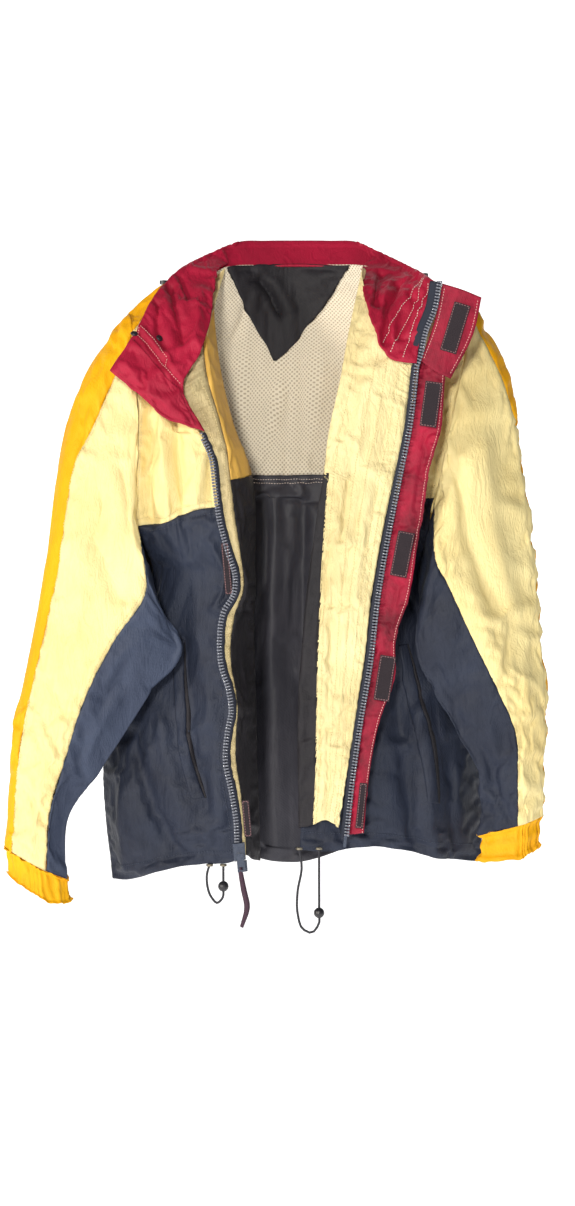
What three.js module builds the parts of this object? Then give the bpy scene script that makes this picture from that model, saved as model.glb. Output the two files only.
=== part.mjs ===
import * as THREE from 'three';

// Driving dimensions, millimetres. +X is the wearer's left, the front of the jacket faces -Y.
const clothThick = 2.2;
const collarThick = 3;
const trimThick = 1.2;
const seamGap = 1.7;
const patchLift = 0.5;

const zipBottom = [-69, -92, -734];
const zipTop = [-114, -92, -232];
const toothPitch = 4.8;
const toothDepth = 4;
const toothThick = 3;
const tapeWidth = 11;
const cuffInset = 2;
const sliderLength = 20;
const pullLength = 22;
const cordRadius = 1.5;
const cordSteps = 32;
const cordLockRadius = 6.5;
const studRadius = 5.5;

const finish = {
  cream: { color: 0xf6e5a0, roughness: 0.62, metalness: 0 },
  navy: { color: 0x4c5263, roughness: 0.58, metalness: 0 },
  red: { color: 0xb81f43, roughness: 0.6, metalness: 0 },
  yellow: { color: 0xf7c60a, roughness: 0.6, metalness: 0 },
  facing: { color: 0xf7ecb4, roughness: 0.62, metalness: 0 },
  mesh: { color: 0xe8dcc0, roughness: 0.85, metalness: 0 },
  lining: { color: 0x3c3b44, roughness: 0.5, metalness: 0 },
  zip: { color: 0x1f2433, roughness: 0.38, metalness: 0 },
  tape: { color: 0x2a2f42, roughness: 0.8, metalness: 0 },
  hook: { color: 0x3c313a, roughness: 0.95, metalness: 0 },
  cord: { color: 0x23232b, roughness: 0.75, metalness: 0 },
  plastic: { color: 0x1a1a20, roughness: 0.35, metalness: 0 },
  metal: { color: 0x8f8a80, roughness: 0.35, metalness: 0.9 },
};

const materials = {};
for (const [name, look] of Object.entries(finish)) {
  materials[name] = new THREE.MeshStandardMaterial({ name, ...look });
}

const root = new THREE.Group();
root.name = 'ski_jacket';

function add(name, geometry, material) {
  const mesh = new THREE.Mesh(geometry, materials[material]);
  mesh.name = name;
  root.add(mesh);
}

const vec = (p) => new THREE.Vector3(p[0], p[1], p[2]);
const mix = (a, b, t) => a.map((value, i) => value + (b[i] - value) * t);

function curve(points) {
  return new THREE.CatmullRomCurve3(points.map((p) => (p.isVector3 ? p : vec(p))));
}

// A point of the curve, with both ends drawn back by the trim lengths.
function along(path, t, trimStart, trimEnd) {
  const length = path.getLength();
  const distance = trimStart + t * (length - trimStart - trimEnd);
  return path.getPointAt(THREE.MathUtils.clamp(distance / length, 0, 1));
}

// Rows of points, top row first, become a smooth surface with u along the rows and v across them.
function surface(rows, trim = [seamGap, seamGap, seamGap, seamGap]) {
  const paths = rows.map(curve);
  return (u, v) => {
    const column = curve(paths.map((path) => along(path, u, trim[0], trim[1])));
    return along(column, v, trim[2], trim[3]);
  };
}

function normalAt(place, u, v) {
  const step = 0.004;
  const du = place(Math.min(1, u + step), v).sub(place(Math.max(0, u - step), v));
  const dv = place(u, Math.max(0, v - step)).sub(place(u, Math.min(1, v + step)));
  return du.cross(dv).normalize();
}

// A thin closed skin over part of a surface, lifted off it when it lies on another piece.
function skin(place, nu, nv, { thick = clothThick, lift = 0, window = (s, t) => [s, t] } = {}) {
  const geometry = new THREE.BoxGeometry(1, 1, 1, nu, nv, 1);
  const position = geometry.attributes.position;
  for (let i = 0; i < position.count; i += 1) {
    const [u, v] = window(position.getX(i) + 0.5, 0.5 - position.getY(i));
    const point = place(u, v).addScaledVector(normalAt(place, u, v), position.getZ(i) * thick + lift);
    position.setXYZ(i, point.x, point.y, point.z);
  }
  return geometry;
}

function addSheet(name, rows, nu, nv, material, options = {}) {
  const place = surface(rows, options.trim);
  add(name, skin(place, nu, nv, options), material);
  return place;
}

// A small piece lying on the outer side of a cloth surface, inside the given window of it.
function addPatch(name, place, nu, nv, material, window, under = clothThick) {
  const lift = under / 2 + trimThick / 2 + patchLift;
  add(name, skin(place, nu, nv, { thick: trimThick, lift, window }), material);
}

const rectangle = (u0, u1, v0, v1) => (s, t) => [u0 + (u1 - u0) * s, v0 + (v1 - v0) * t];

// Torso shell.
function addTorso() {
  addSheet('back_yoke', [
    [[-210, 5, -64], [-172, 12, -30], [-92, 30, -4], [-50, 58, 6], [0, 64, 10], [50, 58, 6], [90, 30, -2],
      [160, 12, -20], [218, 5, -62]],
    [[-200, 44, -118], [-120, 68, -108], [0, 76, -104], [120, 68, -108], [204, 44, -112]],
    [[-190, 58, -212], [-100, 72, -208], [0, 76, -206], [100, 72, -208], [184, 58, -210]],
    [[-188, 50, -302], [-100, 68, -302], [0, 72, -302], [100, 68, -302], [166, 50, -302]],
  ], 16, 8, 'cream');
  addSheet('back_panel', [
    [[-187, 50, -302], [-100, 68, -302], [0, 72, -302], [100, 68, -302], [165, 50, -302]],
    [[-174, -16, -392], [-166, 40, -390], [-90, 66, -390], [0, 70, -390], [90, 66, -390], [146, 40, -390],
      [158, -16, -392]],
    [[-206, 5, -476], [-186, 44, -480], [-100, 64, -480], [0, 69, -480], [100, 64, -480], [166, 44, -480],
      [188, 3, -478]],
    [[-242, 5, -610], [-218, 44, -610], [-110, 64, -610], [0, 68, -610], [110, 64, -610], [200, 44, -605],
      [225, 5, -600]],
    [[-231, 5, -770], [-206, 42, -765], [-105, 60, -750], [0, 64, -752], [105, 60, -736], [200, 42, -743],
      [228, 5, -748]],
  ], 16, 10, 'navy');
  addSheet('right_front_yoke', [
    [[-210, 2, -66], [-172, 9, -32], [-92, 26, -6]],
    [[-198, -42, -98], [-155, -58, -98], [-110, -56, -98]],
    [[-191, -74, -215], [-160, -82, -216], [-124, -86, -222]],
    [[-193, -66, -331], [-145, -76, -320], [-112, -84, -311]],
  ], 5, 8, 'cream');
  const rightPanel = addSheet('right_front_panel', [
    [[-193, -66, -333], [-145, -76, -322], [-111, -84, -313]],
    [[-174, -24, -392], [-160, -56, -388], [-130, -70, -386], [-106, -84, -388]],
    [[-206, 2, -472], [-184, -44, -472], [-144, -64, -472], [-101, -84, -474]],
    [[-242, 3, -610], [-212, -46, -606], [-152, -66, -604], [-90, -84, -604]],
    [[-240, 3, -700], [-206, -52, -702], [-150, -72, -700], [-83, -84, -690]],
    [[-231, 3, -770], [-194, -50, -757], [-140, -74, -742], [-80, -84, -730]],
  ], 8, 10, 'navy');
  addSheet('left_front_yoke', [
    [[90, 26, -4], [160, 9, -22], [218, 2, -64]],
    [[84, -52, -96], [150, -58, -100], [206, -42, -100]],
    [[56, -68, -210], [120, -74, -212], [180, -74, -212]],
    [[38, -68, -318], [105, -72, -308], [166, -66, -303]],
  ], 6, 8, 'cream');
  const leftPanel = addSheet('left_front_panel', [
    [[38, -68, -320], [105, -72, -310], [166, -66, -305]],
    [[30, -68, -390], [95, -70, -388], [142, -56, -388], [158, -24, -390]],
    [[6, -68, -480], [95, -68, -476], [160, -46, -474], [188, 0, -480]],
    [[3, -68, -598], [105, -68, -600], [192, -46, -600], [225, 3, -600]],
    [[4, -68, -670], [105, -70, -680], [192, -50, -690], [230, 3, -690]],
    [[2, -70, -706], [88, -72, -712], [178, -48, -738], [228, 3, -748]],
  ], 9, 10, 'navy');
  const slant = (u, v) => (s, t) => [u + 0.035 * s + 0.05 * t, v + 0.43 * t];
  addPatch('right_pocket_welt', rightPanel, 1, 8, 'navy', slant(0.66, 0.37));
  addPatch('left_pocket_welt', leftPanel, 1, 8, 'navy', slant(0.56, 0.4));
}

// Inside of the back and fronts.
function addLinings() {
  const mesh = addSheet('mesh_lining', [
    [[-98, 12, -36], [-60, 38, -8], [0, 50, 2], [60, 38, -8], [96, 12, -34]],
    [[-166, 40, -120], [-80, 56, -116], [0, 60, -114], [80, 56, -116], [166, 40, -118]],
    [[-160, 43, -260], [-80, 56, -262], [0, 59, -262], [80, 56, -260], [144, 43, -256]],
  ], 10, 6, 'mesh');
  const triangle = (s, t) => [0.16 + 0.14 * t + (0.62 - 0.6 * t) * s, 0.05 + 0.4 * t];
  addPatch('neck_patch', mesh, 8, 5, 'lining', triangle, clothThick + 1.6);
  addSheet('lower_lining', [
    [[-160, 42, -262], [-80, 56, -264], [0, 59, -264], [80, 56, -262], [144, 42, -258]],
    [[-148, 30, -400], [-80, 50, -400], [0, 55, -400], [80, 50, -400], [128, 30, -400]],
    [[-212, 30, -600], [-110, 50, -600], [0, 54, -600], [100, 50, -600], [196, 30, -600]],
    [[-206, 30, -750], [-100, 48, -744], [0, 50, -757], [100, 48, -730], [200, 30, -730]],
  ], 12, 9, 'lining');
  addSheet('left_inner_lining', [
    [[24, -77, -432], [26, -77.5, -432], [30, -78, -432]],
    [[6, -76, -500], [14, -77, -500], [22, -78, -500]],
    [[4, -76, -598], [12, -77, -598], [20, -78, -598]],
    [[2, -76, -700], [10, -77, -696], [17, -78, -694]],
  ], 2, 8, 'lining', { trim: [0.6, 0.6, 1, 1] });
  addSheet('right_facing', [
    [[-120, -80, -170], [-106, -72, -165]],
    [[-116, -83.5, -240], [-88, -79, -250]],
    [[-102, -83.5, -400], [-74, -79, -400]],
    [[-87, -83.5, -570], [-60, -79, -570]],
    [[-74, -83.5, -728], [-48, -79, -722]],
  ], 2, 14, 'facing');
  addSheet('left_facing', [
    [[76, -76, -66], [92, -84, -102], [113, -88, -137], [126, -90, -150]],
    [[58, -77, -165], [90, -85, -182], [119, -90, -207]],
    [[44, -77, -265], [74, -85, -268], [106, -90, -279]],
    [[36, -77, -330], [64, -85, -338], [92, -90, -351]],
    [[30, -78, -423], [80, -90, -423]],
    [[24, -78, -500], [72, -90, -497]],
    [[23, -78, -592], [59, -90, -590]],
    [[20, -78, -692], [42, -90, -702]],
  ], 4, 14, 'facing');
}

// Collar, opened and laid over the shoulders.
function addCollar() {
  addSheet('collar_back', [
    [[-78, 62, 36], [-40, 74, 40], [0, 78, 42], [40, 74, 41], [76, 62, 36]],
    [[-82, 48, 8], [-42, 64, 14], [0, 69, 16], [42, 64, 15], [82, 48, 8]],
  ], 8, 2, 'red', { thick: collarThick, trim: [2.4, 2.4, 1, 1] });
  const collarRight = addSheet('collar_right', [
    [[-229, -95, -150], [-202, -74, -99], [-179, -42, -54], [-158, 0, -13], [-130, 26, 4], [-78, 62, 36]],
    [[-182, -106, -180], [-166, -90, -120], [-150, -56, -64], [-134, -10, -20], [-112, 22, 4], [-80, 57, 24]],
    [[-119, -100, -214], [-122, -92, -152], [-108, -64, -88], [-104, -20, -36], [-98, 16, -2], [-82, 48, 8]],
  ], 12, 6, 'red', { thick: collarThick, trim: [1, 2.4, 1, 1] });
  addPatch('collar_placket', collarRight, 2, 8, 'red', rectangle(0.03, 0.12, 0.12, 0.88), collarThick);
  addSheet('collar_left', [
    [[76, 62, 36], [126, 22, 6], [152, -30, -22], [160, -88, -42]],
    [[80, 57, 24], [112, 16, 0], [132, -50, -52], [146, -94, -96]],
    [[82, 48, 8], [84, 4, -14], [94, -78, -90], [112, -94, -128], [130, -97, -141]],
  ], 10, 6, 'red', { thick: collarThick, trim: [2.4, 1, 1, 1] });
}

function zipFrame() {
  const up = vec(zipTop).sub(vec(zipBottom)).normalize();
  const across = new THREE.Vector3(up.z, 0, -up.x);
  return { up, across };
}

// Flat outline in the XZ plane, made thick along Y and centred on depth y.
function flatPlate(outline, y, thick) {
  const shape = new THREE.Shape(outline.map(([x, z]) => new THREE.Vector2(x, z)));
  const geometry = new THREE.ExtrudeGeometry(shape, { depth: thick, bevelEnabled: false });
  geometry.rotateX(Math.PI / 2);
  geometry.translate(0, y + thick / 2, 0);
  return geometry;
}

// Teeth along a path, pointing to one side, on a narrow spine.
function toothComb(path, side, y) {
  const count = Math.floor(path.getLength() / toothPitch);
  const outer = [];
  const inner = [];
  for (let i = 0; i < count; i += 1) {
    for (const [share, reach] of [[0, 1.2], [0.15, toothDepth], [0.6, toothDepth]]) {
      const t = (i + share) / count;
      const point = path.getPointAt(t);
      const tangent = path.getTangentAt(t);
      outer.push([point.x + side * tangent.z * reach, point.z - side * tangent.x * reach]);
    }
    if (i % 6 === 0 || i === count - 1) {
      const t = i === 0 ? 0 : (i + 0.6) / count;
      const point = path.getPointAt(t);
      inner.push([point.x, point.z]);
    }
  }
  return flatPlate([...outer, ...inner.reverse()], y, toothThick);
}

function tapeStrip(path, side, y) {
  const steps = 14;
  const near = [];
  const far = [];
  for (let i = 0; i <= steps; i += 1) {
    const point = path.getPointAt(i / steps);
    const tangent = path.getTangentAt(i / steps);
    near.push([point.x + side * tangent.z, point.z - side * tangent.x]);
    far.push([point.x + side * tangent.z * tapeWidth, point.z - side * tangent.x * tapeWidth]);
  }
  return flatPlate([...near, ...far.reverse()], y, trimThick);
}

function addZips() {
  const { up, across } = zipFrame();
  const right = new THREE.LineCurve3(vec(zipBottom).addScaledVector(up, 2), vec(zipTop));
  const left = curve([
    [56, -95, -702], [63, -95, -639], [73, -95, -567], [84, -95, -495], [93, -95, -423], [105, -95, -351],
    [118, -95, -279], [132, -95, -207], [140, -97, -141],
  ]);
  const leftTop = curve([[143, -100, -130], [150, -100, -100], [161, -100, -75], [167, -100, -44]]);
  add('zip_teeth_right', toothComb(right, -1, zipBottom[1]), 'zip');
  add('zip_tape_right', tapeStrip(right, 1, zipBottom[1]), 'tape');
  add('zip_teeth_left', toothComb(left, 1, -94), 'zip');
  add('zip_tape_left', tapeStrip(left, -1, -94), 'tape');
  add('zip_teeth_collar', toothComb(leftTop, 1, -100), 'zip');
  add('zip_tape_collar', tapeStrip(leftTop, -1, -100), 'tape');
  addZipFittings(up, across);
}

function turned(geometry, center) {
  const { up } = zipFrame();
  geometry.rotateY(Math.atan2(up.x, up.z));
  geometry.translate(center.x, center.y, center.z);
  return geometry;
}

function addZipFittings(up, across) {
  const base = vec(zipBottom);
  const box = new THREE.BoxGeometry(12, 6, 13);
  add('zip_box', turned(box, base.clone().addScaledVector(up, -8).addScaledVector(across, 1)), 'zip');
  const pin = new THREE.BoxGeometry(3.4, 3, 16);
  pin.rotateY(Math.atan2(7, 63));
  pin.translate(56, -94, -711);
  add('zip_pin', pin, 'zip');

  const profile = new THREE.Shape([[-8, -5], [6, -5], [6, -3.1], [-5.8, -3.1], [-5.8, 3.1], [6, 3.1], [6, 5],
    [-8, 5]].map(([x, y]) => new THREE.Vector2(x, y)));
  const slider = new THREE.ExtrudeGeometry(profile, { depth: sliderLength, bevelEnabled: false });
  add('zip_slider', turned(slider, base), 'zip');

  const tab = new THREE.Shape([[-4, 0], [-5, -pullLength], [5, -pullLength], [4, 0]]
    .map(([x, z]) => new THREE.Vector2(x, z)));
  const slot = new THREE.Path([[-2.5, -pullLength + 6], [2.5, -pullLength + 6], [2.5, -pullLength + 2.5],
    [-2.5, -pullLength + 2.5]].map(([x, z]) => new THREE.Vector2(x, z)));
  tab.holes.push(slot);
  const pull = new THREE.ExtrudeGeometry(tab, { depth: 1.6, bevelEnabled: false });
  pull.rotateX(Math.PI / 2);
  pull.translate(0, -6.2, 0);
  const hang = base.clone().addScaledVector(up, 8);
  add('zip_pull', turned(pull, hang), 'zip');
  addSheet('zip_ribbon', [
    [[-72.5, -101, -752], [-65, -101, -751]],
    [[-69, -102, -770], [-61, -102, -770]],
    [[-66, -101, -790], [-58, -101, -791]],
    [[-71, -100, -812], [-63, -100, -815]],
  ], 1, 10, 'tape', { thick: trimThick, trim: [0.5, 0.5, 0.5, 0.5] });
}

// Storm flap of the left front, laid open, with its hook strips.
function addStormFlap() {
  addSheet('storm_flap', [
    [[146, -100, -158], [158, -101, -159], [170, -100, -161]],
    [[139, -100, -207], [156, -101, -212], [173, -100, -219]],
    [[126, -100, -279], [144, -101, -279], [163, -100, -279]],
    [[113, -100, -351], [129, -101, -351], [146, -100, -351]],
    [[101, -100, -423], [116, -101, -423], [131, -100, -423]],
    [[92, -100, -495], [104, -101, -495], [117, -100, -495]],
    [[81, -100, -567], [88, -101, -567], [96, -100, -567]],
    [[70, -100, -639], [76, -101, -637], [83, -100, -635]],
    [[64, -100, -704], [70, -101, -702], [77, -100, -700]],
  ], 3, 16, 'red', { trim: [0.5, 0.5, 0.5, 0.5] });
  addSheet('collar_flap', [
    [[173, -101, -46], [196, -102, -54], [218, -101, -61]],
    [[165, -101, -90], [186, -102, -98], [208, -101, -105]],
    [[152, -101, -132], [167, -102, -145], [181, -101, -152]],
  ], 4, 5, 'red', { trim: [0.5, 0.5, 0.5, 0.5] });
  const hooks = [
    [[187, -104, -98], 20, 60, 17],
    [[156, -104, -189], 20, 54, 8],
    [[121, -104, -368], 20, 54, 11],
    [[101, -104, -516], 19, 54, 9],
    [[75, -104, -668], 9, 54, 6],
  ];
  hooks.forEach(([place, width, length, tilt], index) => {
    const strip = new THREE.BoxGeometry(width, trimThick, length);
    strip.rotateY(THREE.MathUtils.degToRad(tilt));
    strip.translate(...place);
    add(`hook_strip_${index + 1}`, strip, 'hook');
  });
  const loops = [[[-86, -88.2, -385], 62], [[-62, -88.2, -685], 44]];
  loops.forEach(([place, length], index) => {
    const strip = new THREE.BoxGeometry(9, trimThick, length);
    strip.rotateY(THREE.MathUtils.degToRad(-5));
    strip.translate(...place);
    add(`loop_strip_${index + 1}`, strip, 'hook');
  });
}

// One sleeve: stations from the armhole to the wrist, each with its outer edge, underarm fold and back fold.
function sleeveSections(stations) {
  const bulge = (f) => Math.sqrt(Math.max(0, 1 - (2 * f - 1) ** 2));
  return stations.map(([outer, fold, back, frontDepth, backDepth, stripe, seam, rear]) => {
    const front = (f) => {
      const p = mix(outer, fold, f);
      return [p[0], p[1] - frontDepth * bulge(f), p[2]];
    };
    const rearSide = (f) => {
      const p = mix(outer, back, f);
      return [p[0], p[1] + backDepth * bulge(f), p[2]];
    };
    return {
      stripe: [rearSide(stripe), outer, front(stripe)],
      front: [front(stripe), front((stripe + seam) / 2), front(seam)],
      gusset: [front(seam), fold, back, rearSide(rear)],
      back: [rearSide(rear), rearSide((stripe + rear) / 2), rearSide(stripe)],
      loop: [outer, front(0.25), front(0.7), fold, back, rearSide(0.7), rearSide(0.25)],
    };
  });
}

function addSleeve(side, stations, cuffDrop) {
  const sections = sleeveSections(stations);
  const sizes = {
    front: [5, 12, 'cream'],
    stripe: [3, 14, 'yellow'],
    gusset: [6, 12, 'navy'],
    back: [5, 12, 'cream'],
  };
  for (const [part, [nu, nv, material]] of Object.entries(sizes)) {
    const rows = sections.map((section) => (side === 'left' ? [...section[part]].reverse() : section[part]));
    addSheet(`${side}_sleeve_${part}`, rows, nu, nv, material, { trim: [2.2, 2.2, 1.6, 1.6] });
  }
  addCuff(side, sections.at(-1).loop, cuffDrop);
}

// Elastic cuff: the last section carried on down its own slope.
function addCuff(side, loop, drop) {
  const ring = new THREE.CatmullRomCurve3(loop.map(vec), true);
  const center = loop.reduce((sum, p) => sum.add(vec(p)), new THREE.Vector3()).divideScalar(loop.length);
  const height = Math.hypot(...drop);
  const levels = [seamGap * 2, 0.45 * height, height];
  const half = clothThick / 2;
  const wall = 10;
  const profile = [];
  levels.forEach((level) => profile.push(new THREE.Vector2(wall + half, level)));
  [...levels].reverse().forEach((level) => profile.push(new THREE.Vector2(wall - half, level)));
  profile.push(profile[0].clone());
  const geometry = new THREE.LatheGeometry(profile, 16);
  const down = vec(drop).normalize();
  const position = geometry.attributes.position;
  for (let i = 0; i < position.count; i += 1) {
    const turn = Math.atan2(position.getX(i), position.getZ(i)) / (2 * Math.PI);
    const depth = Math.hypot(position.getX(i), position.getZ(i)) - wall;
    const rim = ring.getPointAt((turn + 1) % 1);
    const outward = rim.clone().sub(center).normalize();
    rim.addScaledVector(outward, depth - cuffInset).addScaledVector(down, position.getY(i));
    position.setXYZ(i, rim.x, rim.y, rim.z);
  }
  add(`${side}_cuff`, outwardFacing(geometry), 'yellow');
}

function volumeOf(geometry) {
  const position = geometry.attributes.position;
  const index = geometry.index;
  let total = 0;
  for (let i = 0; i < index.count; i += 3) {
    const corner = (k) => new THREE.Vector3().fromBufferAttribute(position, index.getX(i + k));
    const [a, b, c] = [corner(0), corner(1), corner(2)];
    total += a.dot(b.cross(c));
  }
  return total;
}

function outwardFacing(geometry) {
  if (volumeOf(geometry) < 0) {
    const index = geometry.index;
    for (let i = 0; i < index.count; i += 3) {
      const first = index.getX(i);
      index.setX(i, index.getX(i + 1));
      index.setX(i + 1, first);
    }
  }
  return geometry;
}

// Hem cords, each a loop between two eyelets, with a ball lock on the straight side.
function addDrawcord(side, path, lockHeight, eyelets) {
  const section = [];
  for (let i = 0; i < 8; i += 1) {
    const angle = (i / 8) * 2 * Math.PI;
    section.push(new THREE.Vector2(cordRadius * Math.cos(angle), cordRadius * Math.sin(angle)));
  }
  const round = new THREE.Shape(section);
  const cord = new THREE.ExtrudeGeometry(round, { steps: cordSteps, extrudePath: curve(path) });
  add(`${side}_drawcord`, cord, 'cord');
  const [x, y] = eyelets[1];
  const bore = cordRadius + 0.5;
  const ball = [];
  for (let i = 0; i <= 6; i += 1) {
    const angle = -1.2 + (2.4 * i) / 6;
    ball.push(new THREE.Vector2(cordLockRadius * Math.cos(angle), cordLockRadius * Math.sin(angle)));
  }
  const rim = cordLockRadius * Math.sin(1.2);
  ball.push(new THREE.Vector2(bore, rim), new THREE.Vector2(bore, -rim), ball[0].clone());
  const lock = new THREE.LatheGeometry(ball, 20);
  lock.rotateX(Math.PI / 2);
  lock.translate(x, y, lockHeight);
  add(`${side}_cord_lock`, outwardFacing(lock), 'plastic');
  eyelets.forEach(([ex, ey, ez], index) => {
    const ring = new THREE.LatheGeometry([[2.2, -1.2], [4.2, -1.2], [4.2, 1.2], [2.2, 1.2], [2.2, -1.2]]
      .map(([r, h]) => new THREE.Vector2(r, h)), 16);
    ring.rotateX(Math.PI / 2);
    ring.translate(ex, ey, ez);
    add(`${side}_eyelet_${index + 1}`, outwardFacing(ring), 'metal');
  });
}

function addStuds() {
  const places = [['right', -168, 9, -24], ['left', 158, 9, -15]];
  for (const [side, x, y, z] of places) {
    const stud = new THREE.CylinderGeometry(studRadius, studRadius, 4, 20);
    stud.rotateX(Math.PI / 2);
    stud.translate(x, y, z);
    add(`hood_stud_${side}`, stud, 'plastic');
  }
}

addTorso();
addLinings();
addCollar();
addZips();
addStormFlap();
addSleeve('right', [
  [[-215, 2, -69], [-186, -26, -385], [-188, 18, -380], 62, 54, 0.08, 0.84, 0.84],
  [[-268, -15, -147], [-163, -78, -435], [-222, -22, -424], 46, 58, 0.16, 0.78, 0.8],
  [[-290, -30, -225], [-146, -81, -473], [-230, -36, -470], 44, 52, 0.13, 0.74, 0.8],
  [[-309, -52, -374], [-180, -81, -530], [-240, -42, -526], 40, 40, 0.12, 0.66, 0.78],
  [[-328, -64, -483], [-215, -79, -585], [-252, -44, -580], 36, 32, 0.12, 0.62, 0.76],
  [[-344, -68, -568], [-243, -78, -632], [-264, -46, -626], 32, 26, 0.13, 0.66, 0.74],
  [[-352, -70, -645], [-276, -76, -684], [-282, -50, -680], 26, 20, 0.15, 0.72, 0.74],
  [[-356, -70, -718], [-280, -74, -758], [-284, -50, -754], 22, 18, 0.14, 0.7, 0.72],
], [4, 0, -36]);
addSleeve('left', [
  [[224, 2, -68], [164, -28, -385], [166, 18, -380], 58, 50, 0.06, 0.76, 0.84],
  [[262, -12, -149], [143, -80, -426], [196, -22, -420], 48, 58, 0.07, 0.8, 0.8],
  [[271, -22, -225], [142, -83, -472], [202, -36, -468], 46, 52, 0.07, 0.68, 0.8],
  [[288, -46, -374], [162, -84, -531], [212, -42, -526], 40, 40, 0.07, 0.58, 0.78],
  [[295, -56, -471], [192, -82, -582], [226, -44, -576], 36, 32, 0.08, 0.48, 0.76],
  [[299, -62, -545], [213, -79, -620], [236, -46, -614], 32, 26, 0.08, 0.42, 0.74],
  [[297, -67, -625], [223, -76, -664], [238, -48, -660], 26, 20, 0.08, 0.42, 0.74],
  [[295, -68, -682], [227, -73, -706], [236, -50, -702], 22, 18, 0.08, 0.42, 0.72],
], [-2, 0, -38]);
addDrawcord('right', [
  [-107, -80, -742], [-110, -80, -752], [-110, -80, -766], [-105, -80, -781], [-98, -80, -788],
  [-91.5, -80, -782], [-90.5, -80, -770], [-90.5, -80, -756], [-90.5, -80, -742],
], -768, [[-107, -80, -742.5], [-90.5, -80, -742.5]]);
addDrawcord('left', [
  [1, -80, -722], [4, -80, -745], [-1, -80, -775], [-1, -80, -800], [6, -80, -820], [16, -80, -824],
  [24, -80, -815], [25, -80, -795], [25, -80, -770], [25, -80, -745], [25, -80, -722],
], -800, [[1, -80, -722.5], [25, -80, -722.5]]);
addStuds();

export default root;
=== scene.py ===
import math
import random

import bmesh
import bpy
import numpy as np
from mathutils import Matrix, Vector


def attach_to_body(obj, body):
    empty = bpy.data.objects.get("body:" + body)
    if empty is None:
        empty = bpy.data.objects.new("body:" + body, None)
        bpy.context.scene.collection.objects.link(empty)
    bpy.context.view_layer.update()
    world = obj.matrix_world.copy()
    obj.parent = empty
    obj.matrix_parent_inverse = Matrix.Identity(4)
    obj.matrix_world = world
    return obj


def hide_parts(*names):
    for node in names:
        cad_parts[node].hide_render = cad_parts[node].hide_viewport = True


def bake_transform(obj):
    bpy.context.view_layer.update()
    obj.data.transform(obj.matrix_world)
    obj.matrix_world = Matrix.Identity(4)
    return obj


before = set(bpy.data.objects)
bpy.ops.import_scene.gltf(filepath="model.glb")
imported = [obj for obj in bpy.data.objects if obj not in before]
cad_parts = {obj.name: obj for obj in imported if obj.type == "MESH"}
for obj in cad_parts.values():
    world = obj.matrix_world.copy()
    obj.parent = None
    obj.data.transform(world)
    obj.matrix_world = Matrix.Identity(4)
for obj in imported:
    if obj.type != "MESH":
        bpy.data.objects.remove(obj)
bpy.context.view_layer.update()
chance = random.Random(7)
mm = 0.001
scene = bpy.context.scene

# Shapes below are in millimetres in the frame's axes, +X the wearer's left, front facing -Y.


# camera, light and floor
camera = {"place": (-0.0131, -2.3, -0.4262), "viewHeight": 1.5075, "sensor": 36}
lights = {
    "key": {"place": (-0.5, -3.0, 0.2), "size": 0.4, "power": 56, "color": (1.0, 0.97, 0.90)},
    "side": {"place": (-2.5, -1.8, 0.2), "size": 0.35, "power": 46, "color": (1.0, 0.94, 0.84)},
    "back": {"place": (0.4, 2.0, 1.2), "size": 2.0, "power": 20, "color": (1.0, 1.0, 1.0)},
}
sky = {"color": (1, 1, 1, 1), "strength": 0.11}
floorSpec = {"half": 6, "height": -1.35, "wall": 6}
floorPaint = {"Base Color": (0.95, 0.95, 0.95, 1), "Roughness": 0.9, "Emission Color": (1, 1, 1, 1),
              "Emission Strength": 0.75}


def aimAt(obj, target):
    look = Vector(target) - obj.location
    obj.rotation_euler = look.to_track_quat("-Z", "Y").to_euler()


def addObject(name, data):
    obj = bpy.data.objects.new(name, data)
    scene.collection.objects.link(obj)
    return obj


def meshFrom(name, bm):
    mesh = bpy.data.meshes.new(name)
    bm.to_mesh(mesh)
    bm.free()
    return mesh


def makeStudio():
    data = bpy.data.cameras.new("camera")
    data.sensor_width = camera["sensor"]
    data.lens = camera["sensor"] * -camera["place"][1] / camera["viewHeight"]
    view = addObject("camera", data)
    view.location = camera["place"]
    aimAt(view, (camera["place"][0], 0, camera["place"][2]))
    scene.camera = view
    for name, spec in lights.items():
        lamp = bpy.data.lights.new(name, "AREA")
        lamp.size = spec["size"]
        lamp.energy = spec["power"]
        lamp.color = spec["color"]
        obj = addObject(name, lamp)
        obj.location = spec["place"]
        aimAt(obj, (0, 0, -0.4))
    world = bpy.data.worlds.new("studio")
    scene.world = world
    world.use_nodes = True
    background = world.node_tree.nodes["Background"]
    background.inputs["Color"].default_value = sky["color"]
    background.inputs["Strength"].default_value = sky["strength"]
    scene.view_settings.view_transform = "Standard"
    bm = bmesh.new()
    bmesh.ops.create_grid(bm, x_segments=1, y_segments=1, size=floorSpec["half"])
    bmesh.ops.translate(bm, verts=bm.verts, vec=(0, 0, floorSpec["height"]))
    back = [e for e in bm.edges if all(v.co.y > 0 for v in e.verts)]
    raised = bmesh.ops.extrude_edge_only(bm, edges=back)["geom"]
    raised = [v for v in raised if isinstance(v, bmesh.types.BMVert)]
    bmesh.ops.translate(bm, verts=raised, vec=(0, 0, floorSpec["wall"]))
    floor = addObject("floor", meshFrom("floor", bm))
    paint = bpy.data.materials.new("paleFloor")
    paint.use_nodes = True
    shader = paint.node_tree.nodes["Principled BSDF"]
    for label, value in floorPaint.items():
        shader.inputs[label].default_value = value
    floor.data.materials.append(paint)


makeStudio()
print("studio ready")


# shader groups shared by the cloths
def feed(tree, node, inputs):
    # link or set a node's inputs, by name or by place
    for name, value in inputs.items():
        if isinstance(value, bpy.types.NodeSocket):
            tree.links.new(value, node.inputs[name])
        else:
            node.inputs[name].default_value = value


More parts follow.
